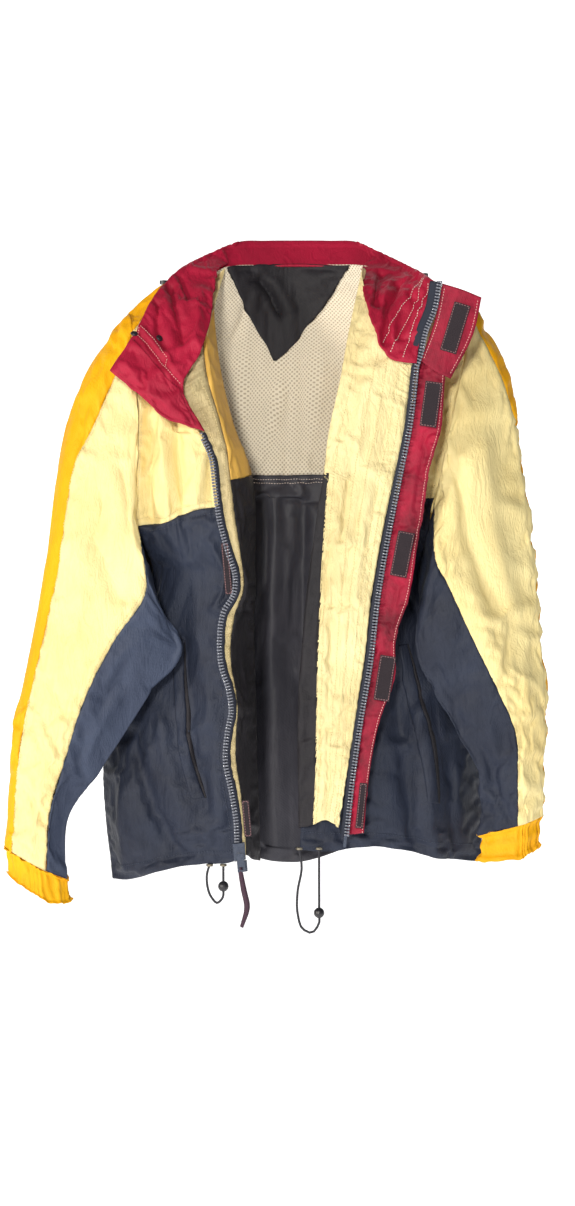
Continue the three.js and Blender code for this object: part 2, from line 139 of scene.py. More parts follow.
def newNode(tree, kind, inputs=None, **settings):
    node = tree.nodes.new("ShaderNode" + kind)
    for name, value in settings.items():
        setattr(node, name, value)
    feed(tree, node, inputs or {})
    return node


def newGroup(name, inputs, outputs):
    tree = bpy.data.node_groups.new(name, "ShaderNodeTree")
    for label, kind, value in inputs:
        tree.interface.new_socket(name=label, in_out="INPUT", socket_type=kind).default_value = value
    for label in outputs:
        tree.interface.new_socket(name=label, in_out="OUTPUT", socket_type="NodeSocketFloat")
    return tree, tree.nodes.new("NodeGroupInput").outputs, tree.nodes.new("NodeGroupOutput")


def mathNode(tree, operation, *values):
    return newNode(tree, "Math", dict(enumerate(values)), operation=operation).outputs[0]


def crinkleGroup():
    # long soft creases, short sharp creases and slow tone changes, on Object coordinates
    tree, given, out = newGroup(
        "crinkle", [("Stretch", "NodeSocketVector", (1, 1, 1)), ("Size", "NodeSocketFloat", 60.0)],
        ["Height", "Tone"])
    where = newNode(tree, "TexCoord").outputs["Object"]
    stretched = newNode(tree, "VectorMath", {0: where, 1: given["Stretch"]}, operation="MULTIPLY").outputs[0]
    heights = []
    for factor, detail, distortion, share in ((1.0, 5, 0.9, 1.0), (3.1, 4, 0.5, 0.45)):
        wave = newNode(tree, "TexNoise", {
            "Vector": stretched, "Scale": mathNode(tree, "MULTIPLY", given["Size"], factor),
            "Detail": detail, "Roughness": 0.6, "Distortion": distortion})
        ridge = mathNode(tree, "ABSOLUTE", mathNode(tree, "SUBTRACT", wave.outputs[0], 0.5))
        heights.append(mathNode(tree, "MULTIPLY", mathNode(tree, "SUBTRACT", 0.5, ridge), share))
    slow = newNode(tree, "TexNoise", {"Vector": where, "Scale": 9, "Detail": 6, "Roughness": 0.65})
    feed(tree, out, {"Height": mathNode(tree, "ADD", *heights), "Tone": slow.outputs[0]})
    return tree


def wavesOnUV(tree, operation, step, factor=None):
    # the product of two sine waves that cross on the piece's UV map, which is in metres
    split = newNode(tree, "SeparateXYZ", {0: newNode(tree, "TexCoord").outputs["UV"]})
    waves = []
    for axis in (0, 1):
        turn = mathNode(tree, operation, split.outputs[axis], step)
        waves.append(mathNode(tree, "SINE", mathNode(tree, "MULTIPLY", turn, factor) if factor else turn))
    return mathNode(tree, "MULTIPLY", *waves)


def weaveGroup():
    # crossing threads
    tree, given, out = newGroup("weave", [("Threads", "NodeSocketFloat", 1800.0)], ["Height"])
    feed(tree, out, {"Height": wavesOnUV(tree, "MULTIPLY", given["Threads"])})
    return tree


def netGroup():
    # small holes in slanting rows
    tree, given, out = newGroup("net", [("Step", "NodeSocketFloat", 0.0026)], ["Hole"])
    both = wavesOnUV(tree, "DIVIDE", given["Step"], math.pi)
    spot = newNode(tree, "MapRange", {"Value": both, "From Min": 0.1, "From Max": 0.5})
    feed(tree, out, {"Hole": spot.outputs[0]})
    return tree


groups = {"crinkle": crinkleGroup(), "weave": weaveGroup(), "net": netGroup()}


def place(tree, group, **inputs):
    return newNode(tree, "Group", inputs, node_tree=groups[group]).outputs


def mixColor(tree, factor, a, b):
    colors = {slot: (*value, 1) if isinstance(value, tuple) else value for slot, value in ((6, a), (7, b))}
    return newNode(tree, "Mix", {0: factor, **colors}, data_type="RGBA").outputs[2]


def bump(tree, height, strength, distance, under=None):
    node = newNode(tree, "Bump", {"Strength": strength, "Distance": distance, "Height": height})
    if under:
        tree.links.new(under, node.inputs["Normal"])
    return node.outputs[0]


def newMaterial(name, roughness):
    material = bpy.data.materials.new(name)
    material.use_nodes = True
    shader = material.node_tree.nodes["Principled BSDF"]
    shader.inputs["Roughness"].default_value = roughness
    return material, material.node_tree, shader


def nylon(name, light, dark, roughness=0.55, size=60.0, stretch=(1, 1, 0.3), depth=0.003, sheen=0.03):
    # woven nylon: base colour drifts between two tones, creases and weave in the bump
    material, tree, shader = newMaterial(name, roughness)
    crinkle = place(tree, "crinkle", Stretch=stretch, Size=size)
    tone, height = crinkle["Tone"], crinkle["Height"]
    drift = newNode(tree, "MapRange", {"Value": tone, "From Min": 0.36, "From Max": 0.66})
    # the colour turns paler towards the tops of the crease ridges
    ridgeShare = newNode(tree, "MapRange", {"Value": height, "From Min": 0.5, "From Max": 0.74, "To Max": 0.22})
    pale = tuple(min(1.0, c * 1.12 + 0.02) for c in light)
    base = mixColor(tree, drift.outputs[0], dark, light)
    fine = bump(tree, place(tree, "weave")["Height"], 0.25, 0.0002)
    feed(tree, shader, {
        "Base Color": mixColor(tree, ridgeShare.outputs[0], base, pale),
        "Normal": bump(tree, height, 0.8, depth, fine),
        "Sheen Weight": sheen, "Sheen Roughness": 0.4, "Specular IOR Level": 0.25})
    return material


def netCloth(name, light, holeShade):
    material, tree, shader = newMaterial(name, 0.85)
    holes = place(tree, "net")["Hole"]
    tone = mixColor(tree, place(tree, "crinkle", Size=12)["Tone"], tuple(c * 0.82 for c in light), light)
    # the holes are not cut open but painted as darker dots: painted shade of the cloth seen through them
    feed(tree, shader, {
        "Base Color": mixColor(tree, holes, tone, holeShade),
        "Normal": bump(tree, mathNode(tree, "SUBTRACT", 1.0, holes), 0.6, 0.0006),
        "Sheen Weight": 0.2})
    return material


def grained(name, light, dark, roughness, grain, depth, metallic=0.0, coat=0.0):
    # moulded plastic, metal, tape and hook strip: fine grain in colour, gloss and bump
    material, tree, shader = newMaterial(name, roughness)
    where = newNode(tree, "TexCoord").outputs["Object"]
    speck = newNode(tree, "TexNoise", {"Vector": where, "Scale": grain, "Detail": 4}).outputs[0]
    gloss = newNode(tree, "MapRange", {
        "Value": speck, "To Min": max(0.05, roughness - 0.1), "To Max": min(1.0, roughness + 0.1)})
    feed(tree, shader, {
        "Base Color": mixColor(tree, speck, dark, light), "Roughness": gloss.outputs[0],
        "Normal": bump(tree, speck, 0.7, depth), "Metallic": metallic, "Coat Weight": coat})
    return material


cloth = {
    "cream": nylon("creamNylon", (0.90, 0.76, 0.38), (0.80, 0.63, 0.27), depth=0.0045),
    "facing": nylon("creamFacing", (0.84, 0.73, 0.40), (0.66, 0.53, 0.25), size=50, depth=0.008),
    # the facing cream painted darker: painted shade on the right facing
    "paintedShadeFacing": nylon("paintedShadeFacing", (0.64, 0.53, 0.29), (0.44, 0.34, 0.17), size=50, depth=0.006),
    # cream cloth painted brown: painted shade on the upper inside of the right front
    "paintedShadeYoke": nylon("paintedShadeYoke", (0.84, 0.50, 0.11), (0.64, 0.37, 0.07), size=45),
    "navy": nylon("navyNylon", (0.021, 0.028, 0.052), (0.010, 0.013, 0.026), sheen=0.02),
    # a lighter copy of the navy: painted light on the right sleeve's gusset
    "gusset": nylon("gussetNylonPaintedLight", (0.044, 0.059, 0.104), (0.030, 0.040, 0.074), sheen=0.02),
    "red": nylon("redNylon", (0.42, 0.006, 0.040), (0.28, 0.004, 0.026), 0.6, 50, (1, 1, 0.5)),
    # red whose dark tone is near black: patches of painted shade drifting at random over both flaps
    "flapRedPaintedShade": nylon("flapNylonPaintedShade", (0.44, 0.007, 0.042), (0.04, 0.002, 0.007), 0.6, 50, (1, 1, 0.5)),
    "yellow": nylon("yellowNylon", (0.90, 0.46, 0.001), (0.80, 0.36, 0.001), 0.6),
    "lining": nylon("darkLining", (0.052, 0.050, 0.064), (0.032, 0.032, 0.042), 0.5, size=40, depth=0.002),
    # dark taffeta: its own colour on the neck patch, painted shade on the inner linings and in the pocket
    # mouths
    "dark": nylon("darkTaffetaAndPaintedShade", (0.019, 0.017, 0.022), (0.010, 0.009, 0.012), 0.62, size=40, depth=0.002),
    # the mesh's holes take the darker brown: painted shade of the cream behind them
    "mesh": netCloth("meshLining", (0.95, 0.86, 0.70), (0.52, 0.43, 0.31)),
    "tape": grained("zipTape", (0.016, 0.022, 0.042), (0.008, 0.011, 0.024), 0.8, 900, 0.0003),
    "ribbon": grained("ribbonWeave", (0.075, 0.024, 0.045), (0.020, 0.014, 0.030), 0.75, 700, 0.0003),
    "zip": grained("zipPlastic", (0.055, 0.070, 0.110), (0.030, 0.040, 0.070), 0.28, 240, 0.0001, coat=0.3),
    # a lighter copy of the zip plastic: painted highlight on the teeth, with a real glossy coat
    "teeth": grained("zipTeeth", (0.22, 0.23, 0.27), (0.08, 0.09, 0.13), 0.25, 240, 0.0001, coat=0.4),
    "hook": grained("hookTape", (0.044, 0.032, 0.040), (0.016, 0.011, 0.016), 0.95, 1400, 0.0009),
    "cord": grained("cordBraid", (0.030, 0.030, 0.042), (0.010, 0.010, 0.014), 0.7, 1100, 0.0004),
    "plastic": grained("blackPlastic", (0.022, 0.022, 0.028), (0.010, 0.010, 0.014), 0.35, 200, 0.0001),
    "metal": grained("antiqueMetal", (0.42, 0.38, 0.30), (0.20, 0.17, 0.12), 0.35, 300, 0.0001, metallic=1.0),
    "whiteThread": grained("paleThread", (0.90, 0.80, 0.74), (0.70, 0.56, 0.50), 0.7, 900, 0.0002),
    "pinkThread": grained("pinkThread", (0.90, 0.50, 0.46), (0.72, 0.30, 0.30), 0.7, 900, 0.0002),
    "hookThread": grained("hookThread", (0.38, 0.20, 0.21), (0.24, 0.11, 0.12), 0.7, 900, 0.0002),
    "creamThread": grained("creamThread", (0.84, 0.72, 0.40), (0.62, 0.50, 0.24), 0.7, 900, 0.0002),
    "navyThread": grained("navyThread", (0.040, 0.052, 0.085), (0.022, 0.028, 0.05), 0.6, 900, 0.0002),
}
print("materials ready")


# drawcords, hanging from their eyelets and back into the hem
drawcords = {
    "right": {
        "route": [(-107, -80, -742), (-110, -80, -752), (-110, -80, -766), (-105, -80, -781),
                  (-98, -80, -788), (-91.5, -80, -782), (-90.5, -80, -770), (-90.5, -80, -756),
                  (-90.5, -80, -742)],
        "length": 0.099,
    },
    "left": {
        "route": [(1, -80, -722), (4, -80, -745), (-1, -80, -775), (-1, -80, -800), (6, -80, -820),
                  (16, -80, -824), (24, -80, -815), (25, -80, -795), (25, -80, -770), (25, -80, -745),
                  (25, -80, -722)],
        "length": 0.217,
    },
}


def throughPoints(knots, values, at, tight=()):
    # smooth curve through values at rising knots; a tight knot bends sharply
    knots = np.asarray(knots, float)
    gaps = np.diff(knots)
    slopes = np.diff(values, axis=0) / gaps.reshape((-1,) + (1,) * (values.ndim - 1))
    tangents = np.empty_like(values)
    tangents[0] = slopes[0]
    tangents[-1] = slopes[-1]
    for i in range(1, len(knots) - 1):
        tangents[i] = (slopes[i - 1] * gaps[i] + slopes[i] * gaps[i - 1]) / (gaps[i - 1] + gaps[i])
    for i in tight:
        tangents[i] = tangents[i] * 0.15
    span = np.clip(np.searchsorted(knots, at, side="right") - 1, 0, len(knots) - 2)
    shape = (-1,) + (1,) * (values.ndim - 1)
    gap = gaps[span].reshape(shape)
    t = ((at - knots[span]) / gaps[span]).reshape(shape)
    a, b = values[span], values[span + 1]
    ta, tb = tangents[span] * gap, tangents[span + 1] * gap
    start, end = (2 * t**3 - 3 * t**2 + 1) * a, (3 * t**2 - 2 * t**3) * b
    return start + (t**3 - 2 * t**2 + t) * ta + end + (t**3 - t**2) * tb


def runAlong(points):
    # the distance along a line at each of its points
    return np.concatenate([[0], np.cumsum(np.linalg.norm(np.diff(points, axis=0), axis=1))])


def along(points, pitch):
    # even marks on a smooth curve, and its direction at each
    points = np.array(points, float)
    legs = runAlong(points)
    marks = np.linspace(0, legs[-1], max(2, round(legs[-1] / pitch)) + 1)
    places = throughPoints(legs, points, marks)
    return places, np.gradient(places, axis=0)


def attach(obj, body, nodes=(), blendTo=None):
    # the body that a piece moves with, and the CAD nodes that it stands for, which are hidden; with blendTo
    # the piece stays unparented and its transform is baked in
    if blendTo:
        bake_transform(obj)
    else:
        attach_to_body(obj, body)
    if nodes:
        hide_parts(*nodes)


def makeCord(side, spec):
    places, _ = along(spec["route"], spec["length"] / mm / 34)
    data = bpy.data.curves.new(side + "Drawcord", "CURVE")
    data.dimensions = "3D"
    data.bevel_depth = 1.5 * mm
    data.bevel_resolution = 3
    data.use_fill_caps = True
    spline = data.splines.new("POLY")
    spline.points.add(len(places) - 1)
    for point, place in zip(spline.points, places * mm):
        point.co = (*place, 1)
    data.materials.append(cloth["cord"])
    cord = addObject(side + "Drawcord", data)
    attach(cord, "torso", [side + "_drawcord"])


for side, spec in drawcords.items():
    makeCord(side, spec)
print("cords ready")


# surfaces of the cloth
def evenKnots(spans, cell):
    # knot positions 0, 1, 2 ... with enough steps between each pair for the cell size
    marks = [np.linspace(i, i + 1, max(1, round(span / cell)) + 1)[:-1] for i, span in enumerate(spans)]
    return np.concatenate([*marks, [len(spans)]])


class Cloth:
    # a grid of points in metres; u runs along the rows and v counts the rows
    def __init__(self, rows, cell, byIndex=False, closed=False, tight=()):
        self.closed = closed
        rows = [np.array(row, float) for row in rows]
        if closed:
            rows = [np.vstack([row, row[:1]]) for row in rows]
        if byIndex:
            widths = np.mean([np.linalg.norm(np.diff(row, axis=0), axis=1) for row in rows], axis=0)
            self.u = evenKnots(widths, cell)
        else:
            length = np.mean([np.linalg.norm(np.diff(row, axis=0), axis=1).sum() for row in rows])
            self.u = np.linspace(0, 1, max(2, round(length / cell)) + 1)
        across = []
        for row in rows:
            if not byIndex:
                steps = runAlong(row)
                across.append(throughPoints(steps / steps[-1], row, self.u))
            elif closed:
                # two points more at each end, so that the ring joins smoothly
                padded, bends = np.vstack([row[-3:-1], row, row[1:3]]), [t + 2 for t in tight]
                across.append(throughPoints(np.arange(-2, len(row) + 2), padded, self.u, bends))
            else:
                across.append(throughPoints(np.arange(len(row)), row, self.u, tight))
        across = np.array(across)
        drops = np.linalg.norm(np.diff(across, axis=0), axis=2).mean(axis=1)
        self.v = evenKnots(drops, cell)
        depth = np.concatenate([[0], np.cumsum(drops)])
        self.points = throughPoints(depth, across, np.interp(self.v, np.arange(len(rows)), depth)) * mm

    def at(self, u, v):
        if self.closed:
            u = np.mod(u, self.u[-1])
        x = np.interp(u, self.u, np.arange(len(self.u)))
        y = np.interp(v, self.v, np.arange(len(self.v)))
        result = 0
        for dy, wy in self.weights(y):
            for dx, wx in self.weights(x):
                column = dx % (len(self.u) - 1) if self.closed else np.clip(dx, 0, len(self.u) - 1)
                row = np.clip(dy, 0, len(self.v) - 1)
                result = result + self.points[row, column] * (wx * wy)[:, None]
        return result

    @staticmethod
    def weights(x):
        i = np.floor(x).astype(int)
        t = x - i
        return (
            (i - 1, (-t**3 + 2 * t**2 - t) / 2),
            (i, (3 * t**3 - 5 * t**2 + 2) / 2),
            (i + 1, (-3 * t**3 + 4 * t**2 + t) / 2),
            (i + 2, (t**3 - t**2) / 2),
        )


def gridNormals(points):
    across = np.gradient(points, axis=1)
    down = np.gradient(points, axis=0)
    normal = np.cross(across, -down)
    return normal / np.maximum(np.linalg.norm(normal, axis=2, keepdims=True), 1e-9)


def foldIn(sheet, folds, flip=1, side=1):
    # each fold is a width, a depth (a ridge over 0, else a valley) and its line seen from the front
    facing = gridNormals(sheet.points) * flip
    where = sheet.points[..., [0, 2]] / mm
    seen = np.clip(facing[..., 1] * -side * 2, 0, 1)
    for width, depth, *line in folds:
        line = np.array(line, float)
        near = np.full(where.shape[:2], 1e9)
        for a, b in zip(line[:-1], line[1:]):
            share = np.clip(((where - a) @ (b - a)) / ((b - a) @ (b - a)), 0, 1)
            near = np.minimum(near, np.linalg.norm(where - a - share[..., None] * (b - a), axis=2))
        push = np.exp(-((near / width) ** 2)) * depth * mm
        sheet.points += facing * (push * seen)[..., None]


def pullEdge(sheet, column, edge, reach):
    # draw one long edge of the sheet to a wavy line x(z), fading out over the reach, in metres
    height = sheet.points[:, column, 2]
    target = np.interp(-height, [-z * mm for z, _ in edge], [x * mm for _, x in edge])
    shift = np.where(height < edge[0][0] * mm, target - sheet.points[:, column, 0], 0)
    away = np.abs(sheet.points[..., 0] - sheet.points[:, column, 0][:, None])
    sheet.points[..., 0] += shift[:, None] * np.clip(1 - away / reach, 0, 1) ** 2


def longCreases(sheet, count, width, depth):
    # narrow creases that wander down the cloth and fade out at both ends
    u, v = sheet.u / sheet.u[-1], sheet.v / sheet.v[-1]
    push = np.zeros(sheet.points.shape[:2])
    for _ in range(count):
        start, length = chance.uniform(-0.1, 0.7), chance.uniform(0.2, 0.6)
        path = chance.uniform(0.08, 0.92) + chance.uniform(-0.15, 0.15) * (v - start)
        path = path + 0.4 * width * np.sin(v * 17 + chance.uniform(0, 6))
        fade = np.clip(1 - ((v - start - length / 2) / (length / 2)) ** 2, 0, 1)
        size = chance.choice((-1, 1)) * chance.uniform(0.5, 1.0) * depth
        push += size * fade[:, None] * np.exp(-(((u[None, :] - path[:, None]) / width) ** 2))
    push *= np.clip(np.minimum(v, 1 - v) * 10, 0, 1)[:, None]
    if not sheet.closed:
        push *= np.clip(np.minimum(u, 1 - u) * 12, 0, 1)[None, :]
    sheet.points += gridNormals(sheet.points) * (push * mm)[..., None]


wavyZip = [(-222, -115), (-248, -103), (-291, -97), (-327, -92), (-361, -83), (-399, -73), (-416, -75),
           (-437, -87), (-471, -92), (-501, -90), (-531, -81), (-555, -78), (-584, -83), (-615, -85),
           (-651, -78), (-690, -72), (-735, -71)]

rightFront = Cloth([
    [(-212, 2, -64), (-172, 9, -29), (-92, 26, -3)],
    [(-202, -42, -98), (-155, -58, -98), (-110, -56, -98)],
    [(-194, -74, -215), (-160, -82, -216), (-118, -90, -222)],
    [(-196, -66, -333), (-162, -74, -329), (-136, -78, -318), (-95, -88, -309)],
    [(-179, -26, -392), (-160, -56, -388), (-130, -70, -386), (-86, -90, -388)],
    [(-207, 3, -476), (-184, -44, -473), (-144, -64, -472), (-92, -90, -474)],
    [(-243, 4, -610), (-212, -46, -606), (-152, -66, -604), (-86, -90, -604)],
    [(-241, 4, -700), (-206, -52, -702), (-150, -72, -700), (-76, -90, -690)],
    [(-232, 4, -771), (-213, -20, -769), (-168, -62, -752), (-112, -78, -741), (-88, -82, -740),
     (-74, -89, -735)],
], 6)
pullEdge(rightFront, -1, wavyZip, 0.06)
foldIn(rightFront, [
    (10, -17, (-184, -120), (-181, -220), (-180, -322)), (6, 5, (-166, -150), (-164, -240), (-162, -318)),
    (7, -10, (-150, -160), (-146, -240), (-143, -312)), (8, 6, (-130, -180), (-124, -260), (-121, -305)),
    (6, -6, (-110, -215), (-107, -300)), (14, -8, (-206, -590), (-180, -660), (-147, -730)),
    (13, 5, (-170, -560), (-150, -640), (-128, -700)), (7, -5, (-140, -470), (-128, -580), (-112, -670)),
    (8, 4, (-112, -500), (-100, -600), (-96, -690)), (9, 5, (-222, -640), (-212, -750)),
])

leftFront = Cloth([
    [(90, 26, -3), (160, 9, -20), (222, 2, -60)],
    [(84, -52, -96), (150, -58, -100), (209, -42, -98)],
    [(56, -68, -210), (120, -74, -212), (184, -74, -212)],
    [(38, -68, -319), (105, -72, -309), (168, -66, -304)],
    [(28, -68, -390), (95, -70, -388), (142, -56, -388), (160, -24, -392)],
    [(6, -68, -480), (95, -68, -476), (160, -46, -474), (190, 2, -480)],
    [(3, -68, -598), (105, -68, -600), (192, -46, -600), (227, 4, -600)],
    [(4, -68, -670), (105, -70, -680), (192, -50, -690), (231, 4, -690)],
    [(2, -70, -725), (30, -71, -727), (88, -72, -721), (178, -48, -739), (230, 4, -750)],
], 6)
foldIn(leftFront, [
    (17, -22, (176, -120), (172, -200), (160, -310)), (14, -8, (148, -330), (140, -420)),
    (12, -7, (120, -520), (132, -620), (140, -720)), (12, 5, (152, -560), (160, -640), (166, -730)),
    (11, -6, (185, -600), (196, -740)), (8, 4, (170, -520), (150, -560), (135, -600)),
])

leftLapel = Cloth([
    [(84, -20, -14), (79, -30, -14), (82, -50, -47), (98, -82, -101), (137, -95, -139)],
    [(66, -56, -98), (61, -64, -98), (67, -71, -102), (97, -87, -128), (134, -93, -156)],
    [(58, -68, -150), (52, -76, -150), (58, -80, -152), (92, -88, -168), (131, -92, -184)],
    [(42, -68, -225), (37, -76, -225), (42, -80, -226), (80, -87, -236), (123, -91, -240)],
    [(38, -68, -262), (32, -76, -262), (37, -80, -262), (74, -87, -267), (115, -91, -275)],
    [(26, -68, -335), (20, -76, -335), (31, -80, -335), (64, -86, -338), (100, -91, -346)],
    [(15, -68, -420), (9, -76, -420), (26, -80, -420), (55, -86, -421), (87, -91, -424)],
    [(9, -68, -480), (4, -76, -480), (23, -80, -483), (50, -86, -488), (79, -91, -495)],
    [(5, -68, -530), (1, -76, -530), (22, -80, -530), (46, -86, -535), (72, -91, -540)],
    [(4, -68, -598), (0, -76, -598), (21, -80, -592), (42, -86, -595), (63, -91, -600)],
    [(4, -68, -650), (0, -76, -650), (20, -80, -642), (38, -86, -645), (55, -91, -651)],
    [(3, -70, -698), (0, -76, -698), (17, -80, -694), (33, -86, -686), (48, -91, -696)],
], 5, byIndex=True)
foldIn(leftLapel, [
    (5, -4, (74, -150), (62, -260), (52, -350)), (5, 3, (98, -180), (84, -290), (66, -420)),
    (4, -3, (40, -430), (36, -560), (34, -690)), (5, 2.5, (56, -440), (50, -600)),
])

rightInner = Cloth([
    [(-122, -14, -46), (-116, -10, -42), (-111, -2, -38), (-106, 8, -30)],
    [(-128, -62, -100), (-116, -56, -92), (-109, -44, -88), (-103, -8, -82)],
    [(-139, -90, -168), (-110, -78, -150), (-100, -58, -148), (-94, -20, -146)],
    [(-117, -90, -216), (-94, -82, -207), (-86, -60, -205), (-80, -24, -203)],
    [(-100, -88, -285), (-82, -82, -278), (-71, -62, -275), (-57, -26, -268)],
    [(-82, -88, -400), (-70, -84, -400), (-62, -62, -400), (-54, -28, -400)],
    [(-93, -88, -480), (-82, -84, -480), (-70, -62, -480), (-54, -28, -480)],
    [(-86, -88, -600), (-76, -84, -600), (-64, -62, -600), (-51, -28, -600)],
    [(-74, -88, -730), (-64, -84, -730), (-56, -62, -738), (-47, -30, -744)],
], 6, byIndex=True)
pullEdge(rightInner, 0, wavyZip, 0.05)

backShell = Cloth([
    [(222, 4, -60), (160, 12, -18), (90, 30, -1), (50, 58, 8), (0, 65, 12), (-50, 58, 8), (-92, 30, -3),
     (-172, 12, -28), (-212, 4, -64)],
    [(209, 44, -112), (120, 68, -108), (0, 76, -104), (-120, 68, -108), (-202, 44, -118)],
    [(186, 58, -210), (100, 72, -208), (0, 76, -206), (-100, 72, -208), (-194, 58, -212)],
    [(168, 50, -302), (100, 68, -302), (0, 72, -302), (-100, 68, -302), (-190, 50, -302)],
    [(160, -20, -392), (146, 40, -390), (90, 66, -390), (0, 70, -390), (-90, 66, -390), (-166, 40, -390),
     (-179, -22, -392)],
    [(190, 4, -480), (166, 44, -480), (100, 64, -480), (0, 69, -480), (-100, 64, -480), (-186, 44, -480),
     (-207, 5, -476)],
    [(227, 6, -600), (200, 44, -605), (110, 64, -610), (0, 68, -610), (-110, 64, -610), (-218, 44, -610),
     (-243, 6, -610)],
    [(231, 6, -690), (200, 43, -690), (108, 62, -684), (0, 66, -694), (-108, 62, -694), (-214, 43, -700),
     (-241, 6, -700)],
    [(229, 6, -750), (200, 42, -742), (105, 60, -733), (0, 64, -752), (-105, 60, -748), (-206, 42, -765),
     (-232, 6, -771)],
], 8)
foldIn(backShell, [
    (16, 5, (-60, -120), (-72, -300)), (14, 5, (64, -130), (80, -320)), (18, 6, (-120, -420), (-140, -740)),
    (20, 6, (20, -400), (30, -740)), (18, -6, (120, -450), (135, -730)), (15, -6, (-50, -480), (-56, -740)),
], side=-1)

backLining = Cloth([
    [(-118, 2, -22), (-92, 26, -2), (-42, 51, 6), (0, 57, 9), (42, 50, 6), (90, 22, -2), (114, 0, -20)],
    [(-166, 40, -120), (-80, 57, -116), (0, 61, -114), (80, 57, -116), (166, 40, -118)],
    [(-160, 43, -260), (-80, 56, -262), (0, 59, -262), (80, 56, -260), (144, 43, -256)],
    [(-148, 30, -400), (-80, 50, -400), (0, 55, -400), (80, 50, -400), (128, 30, -400)],
    [(-212, 30, -600), (-110, 50, -600), (0, 54, -600), (100, 50, -600), (196, 30, -600)],
    [(-206, 30, -750), (-100, 48, -744), (0, 50, -757), (100, 48, -728), (200, 30, -728)],
], 7)
foldIn(backLining, [
    (10, -10, (-66, -300), (-60, -740)), (13, 8, (-30, -290), (-28, -740)), (9, -8, (6, -300), (12, -740)),
    (6, 3, (-20, -150), (-50, -250)), (8, -5, (52, -130), (44, -250)),
    (5, -6, (-48, -14), (-34, -34), (-22, -58)), (6, 4, (-30, -14), (-10, -50)),
])

collarRight = Cloth([
    [(-226, -95, -148), (-197, -76, -98), (-178, -44, -52), (-150, -2, -11), (-118, 32, 14), (-76, 62, 38)],
    [(-192, -102, -176), (-178, -90, -122), (-160, -60, -68), (-137, -12, -22), (-111, 25, 9), (-79, 58, 28)],
    [(-156, -106, -206), (-158, -98, -145), (-140, -76, -98), (-121, -22, -34), (-104, 19, 4), (-82, 53, 17)],
    [(-112, -99, -221), (-138, -100, -166), (-118, -88, -125), (-107, -62, -82), (-104, -26, -38),
     (-98, 14, -3), (-84, 47, 7)],
], 4.5)
foldIn(collarRight, [
    (6, -8, (-158, -34), (-148, -70), (-139, -108)), (5, -5, (-172, -60), (-170, -92), (-160, -116)),
    (8, 5, (-121, -40), (-124, -110)), (4, -4, (-198, -94), (-168, -128), (-141, -166)),
    (8, 4, (-208, -140), (-178, -170), (-140, -205)), (4, -5, (-146, -20), (-132, -52)),
])

collarLeft = Cloth([
    [(76, 62, 38), (126, 22, 6), (150, -34, -18), (157, -76, -32), (164, -98, -42)],
    [(80, 57, 25), (112, 18, 0), (124, -40, -40), (134, -82, -74), (148, -99, -98)],
    [(84, 47, 7), (80, 0, -12), (80, -56, -48), (93, -93, -100), (111, -103, -134), (126, -104, -139),
     (141, -103, -140)],
], 4.5)
foldIn(collarLeft, [
    (5, -6, (104, -12), (96, -64)), (5, -8, (124, -34), (107, -76), (103, -112)),
    (4.5, -6, (141, -58), (121, -108)), (5, 5, (114, -30), (102, -90)), (4, 4, (132, -50), (114, -106)),
])

collarBack = Cloth([
    [(-96, 48, 22), (-77, 64, 37), (-40, 75, 41), (0, 79, 42), (40, 75, 41), (77, 64, 37), (96, 48, 22)],
    [(-102, 26, -9), (-82, 36, 0), (-42, 49, 4), (0, 53, 5), (42, 49, 4), (82, 36, 2), (102, 26, -7)],
], 5)

stormFlap = Cloth([
    [(146, -90, -134), (158, -95, -136), (176, -99, -140)],
    [(140, -90, -170), (156, -97, -172), (174, -101, -176)],
    [(134, -90, -207), (152, -97, -212), (170, -101, -219)],
    [(124, -90, -262), (140, -97, -266), (156, -101, -268)],
    [(118, -90, -300), (134, -97, -302), (151, -101, -304)],
    [(108, -90, -351), (126, -97, -351), (143, -101, -351)],
    [(96, -90, -423), (114, -97, -423), (131, -101, -423)],
    [(90, -90, -465), (104, -97, -465), (117, -101, -465)],
    [(84, -90, -515), (100, -97, -515), (115, -101, -515)],
    [(75, -90, -567), (86, -97, -567), (97, -101, -567)],
    [(65, -90, -639), (75, -97, -637), (84, -101, -635)],
    [(58, -90, -704), (68, -97, -703), (78, -101, -701)],
], 4.5)
foldIn(stormFlap, [
    (4, -3, (152, -225), (140, -330)), (4, -3, (120, -405), (104, -490)), (5, 2, (164, -230), (150, -330)),
])

collarFlap = Cloth([
    [(172, -100, -44), (196, -103, -52), (219, -101, -61)],
    [(163, -100, -88), (186, -103, -97), (209, -101, -105)],
    [(146, -100, -136), (164, -103, -150), (182, -101, -158)],
], 5)
creases = [(leftLapel, 20, 0.05, 2.6), (rightFront, 12, 0.035, 3.0), (leftFront, 12, 0.03, 3.0),
           (backShell, 14, 0.02, 4.0), (backLining, 18, 0.02, 3.5), (collarRight, 8, 0.04, 1.6),
           (rightInner, 8, 0.05, 1.5)]
for crease in creases:
    longCreases(*crease)
print("cloth shapes ready")


# sleeves: stations from the armhole to the wrist
def sleeveLoops(stations, armhole):
    def bulge(share):
        return math.sqrt(max(0.0, 1 - (2 * share - 1) ** 2))

    loops = [armhole]
    for outer, fold, back, frontDepth, backDepth, stripe, seam, rear in stations:
        outer, fold, back = (np.array(p, float) for p in (outer, fold, back))

        def front(share):
            return outer + (fold - outer) * share + np.array([0, -frontDepth * bulge(share), 0])

        def behind(share):
            return outer + (back - outer) * share + np.array([0, backDepth * bulge(share), 0])

        loops.append([front(stripe), front((stripe + seam) / 2), front(seam), fold, back, behind(rear),
                      behind((rear + stripe) / 2), behind(stripe), outer])
    return loops


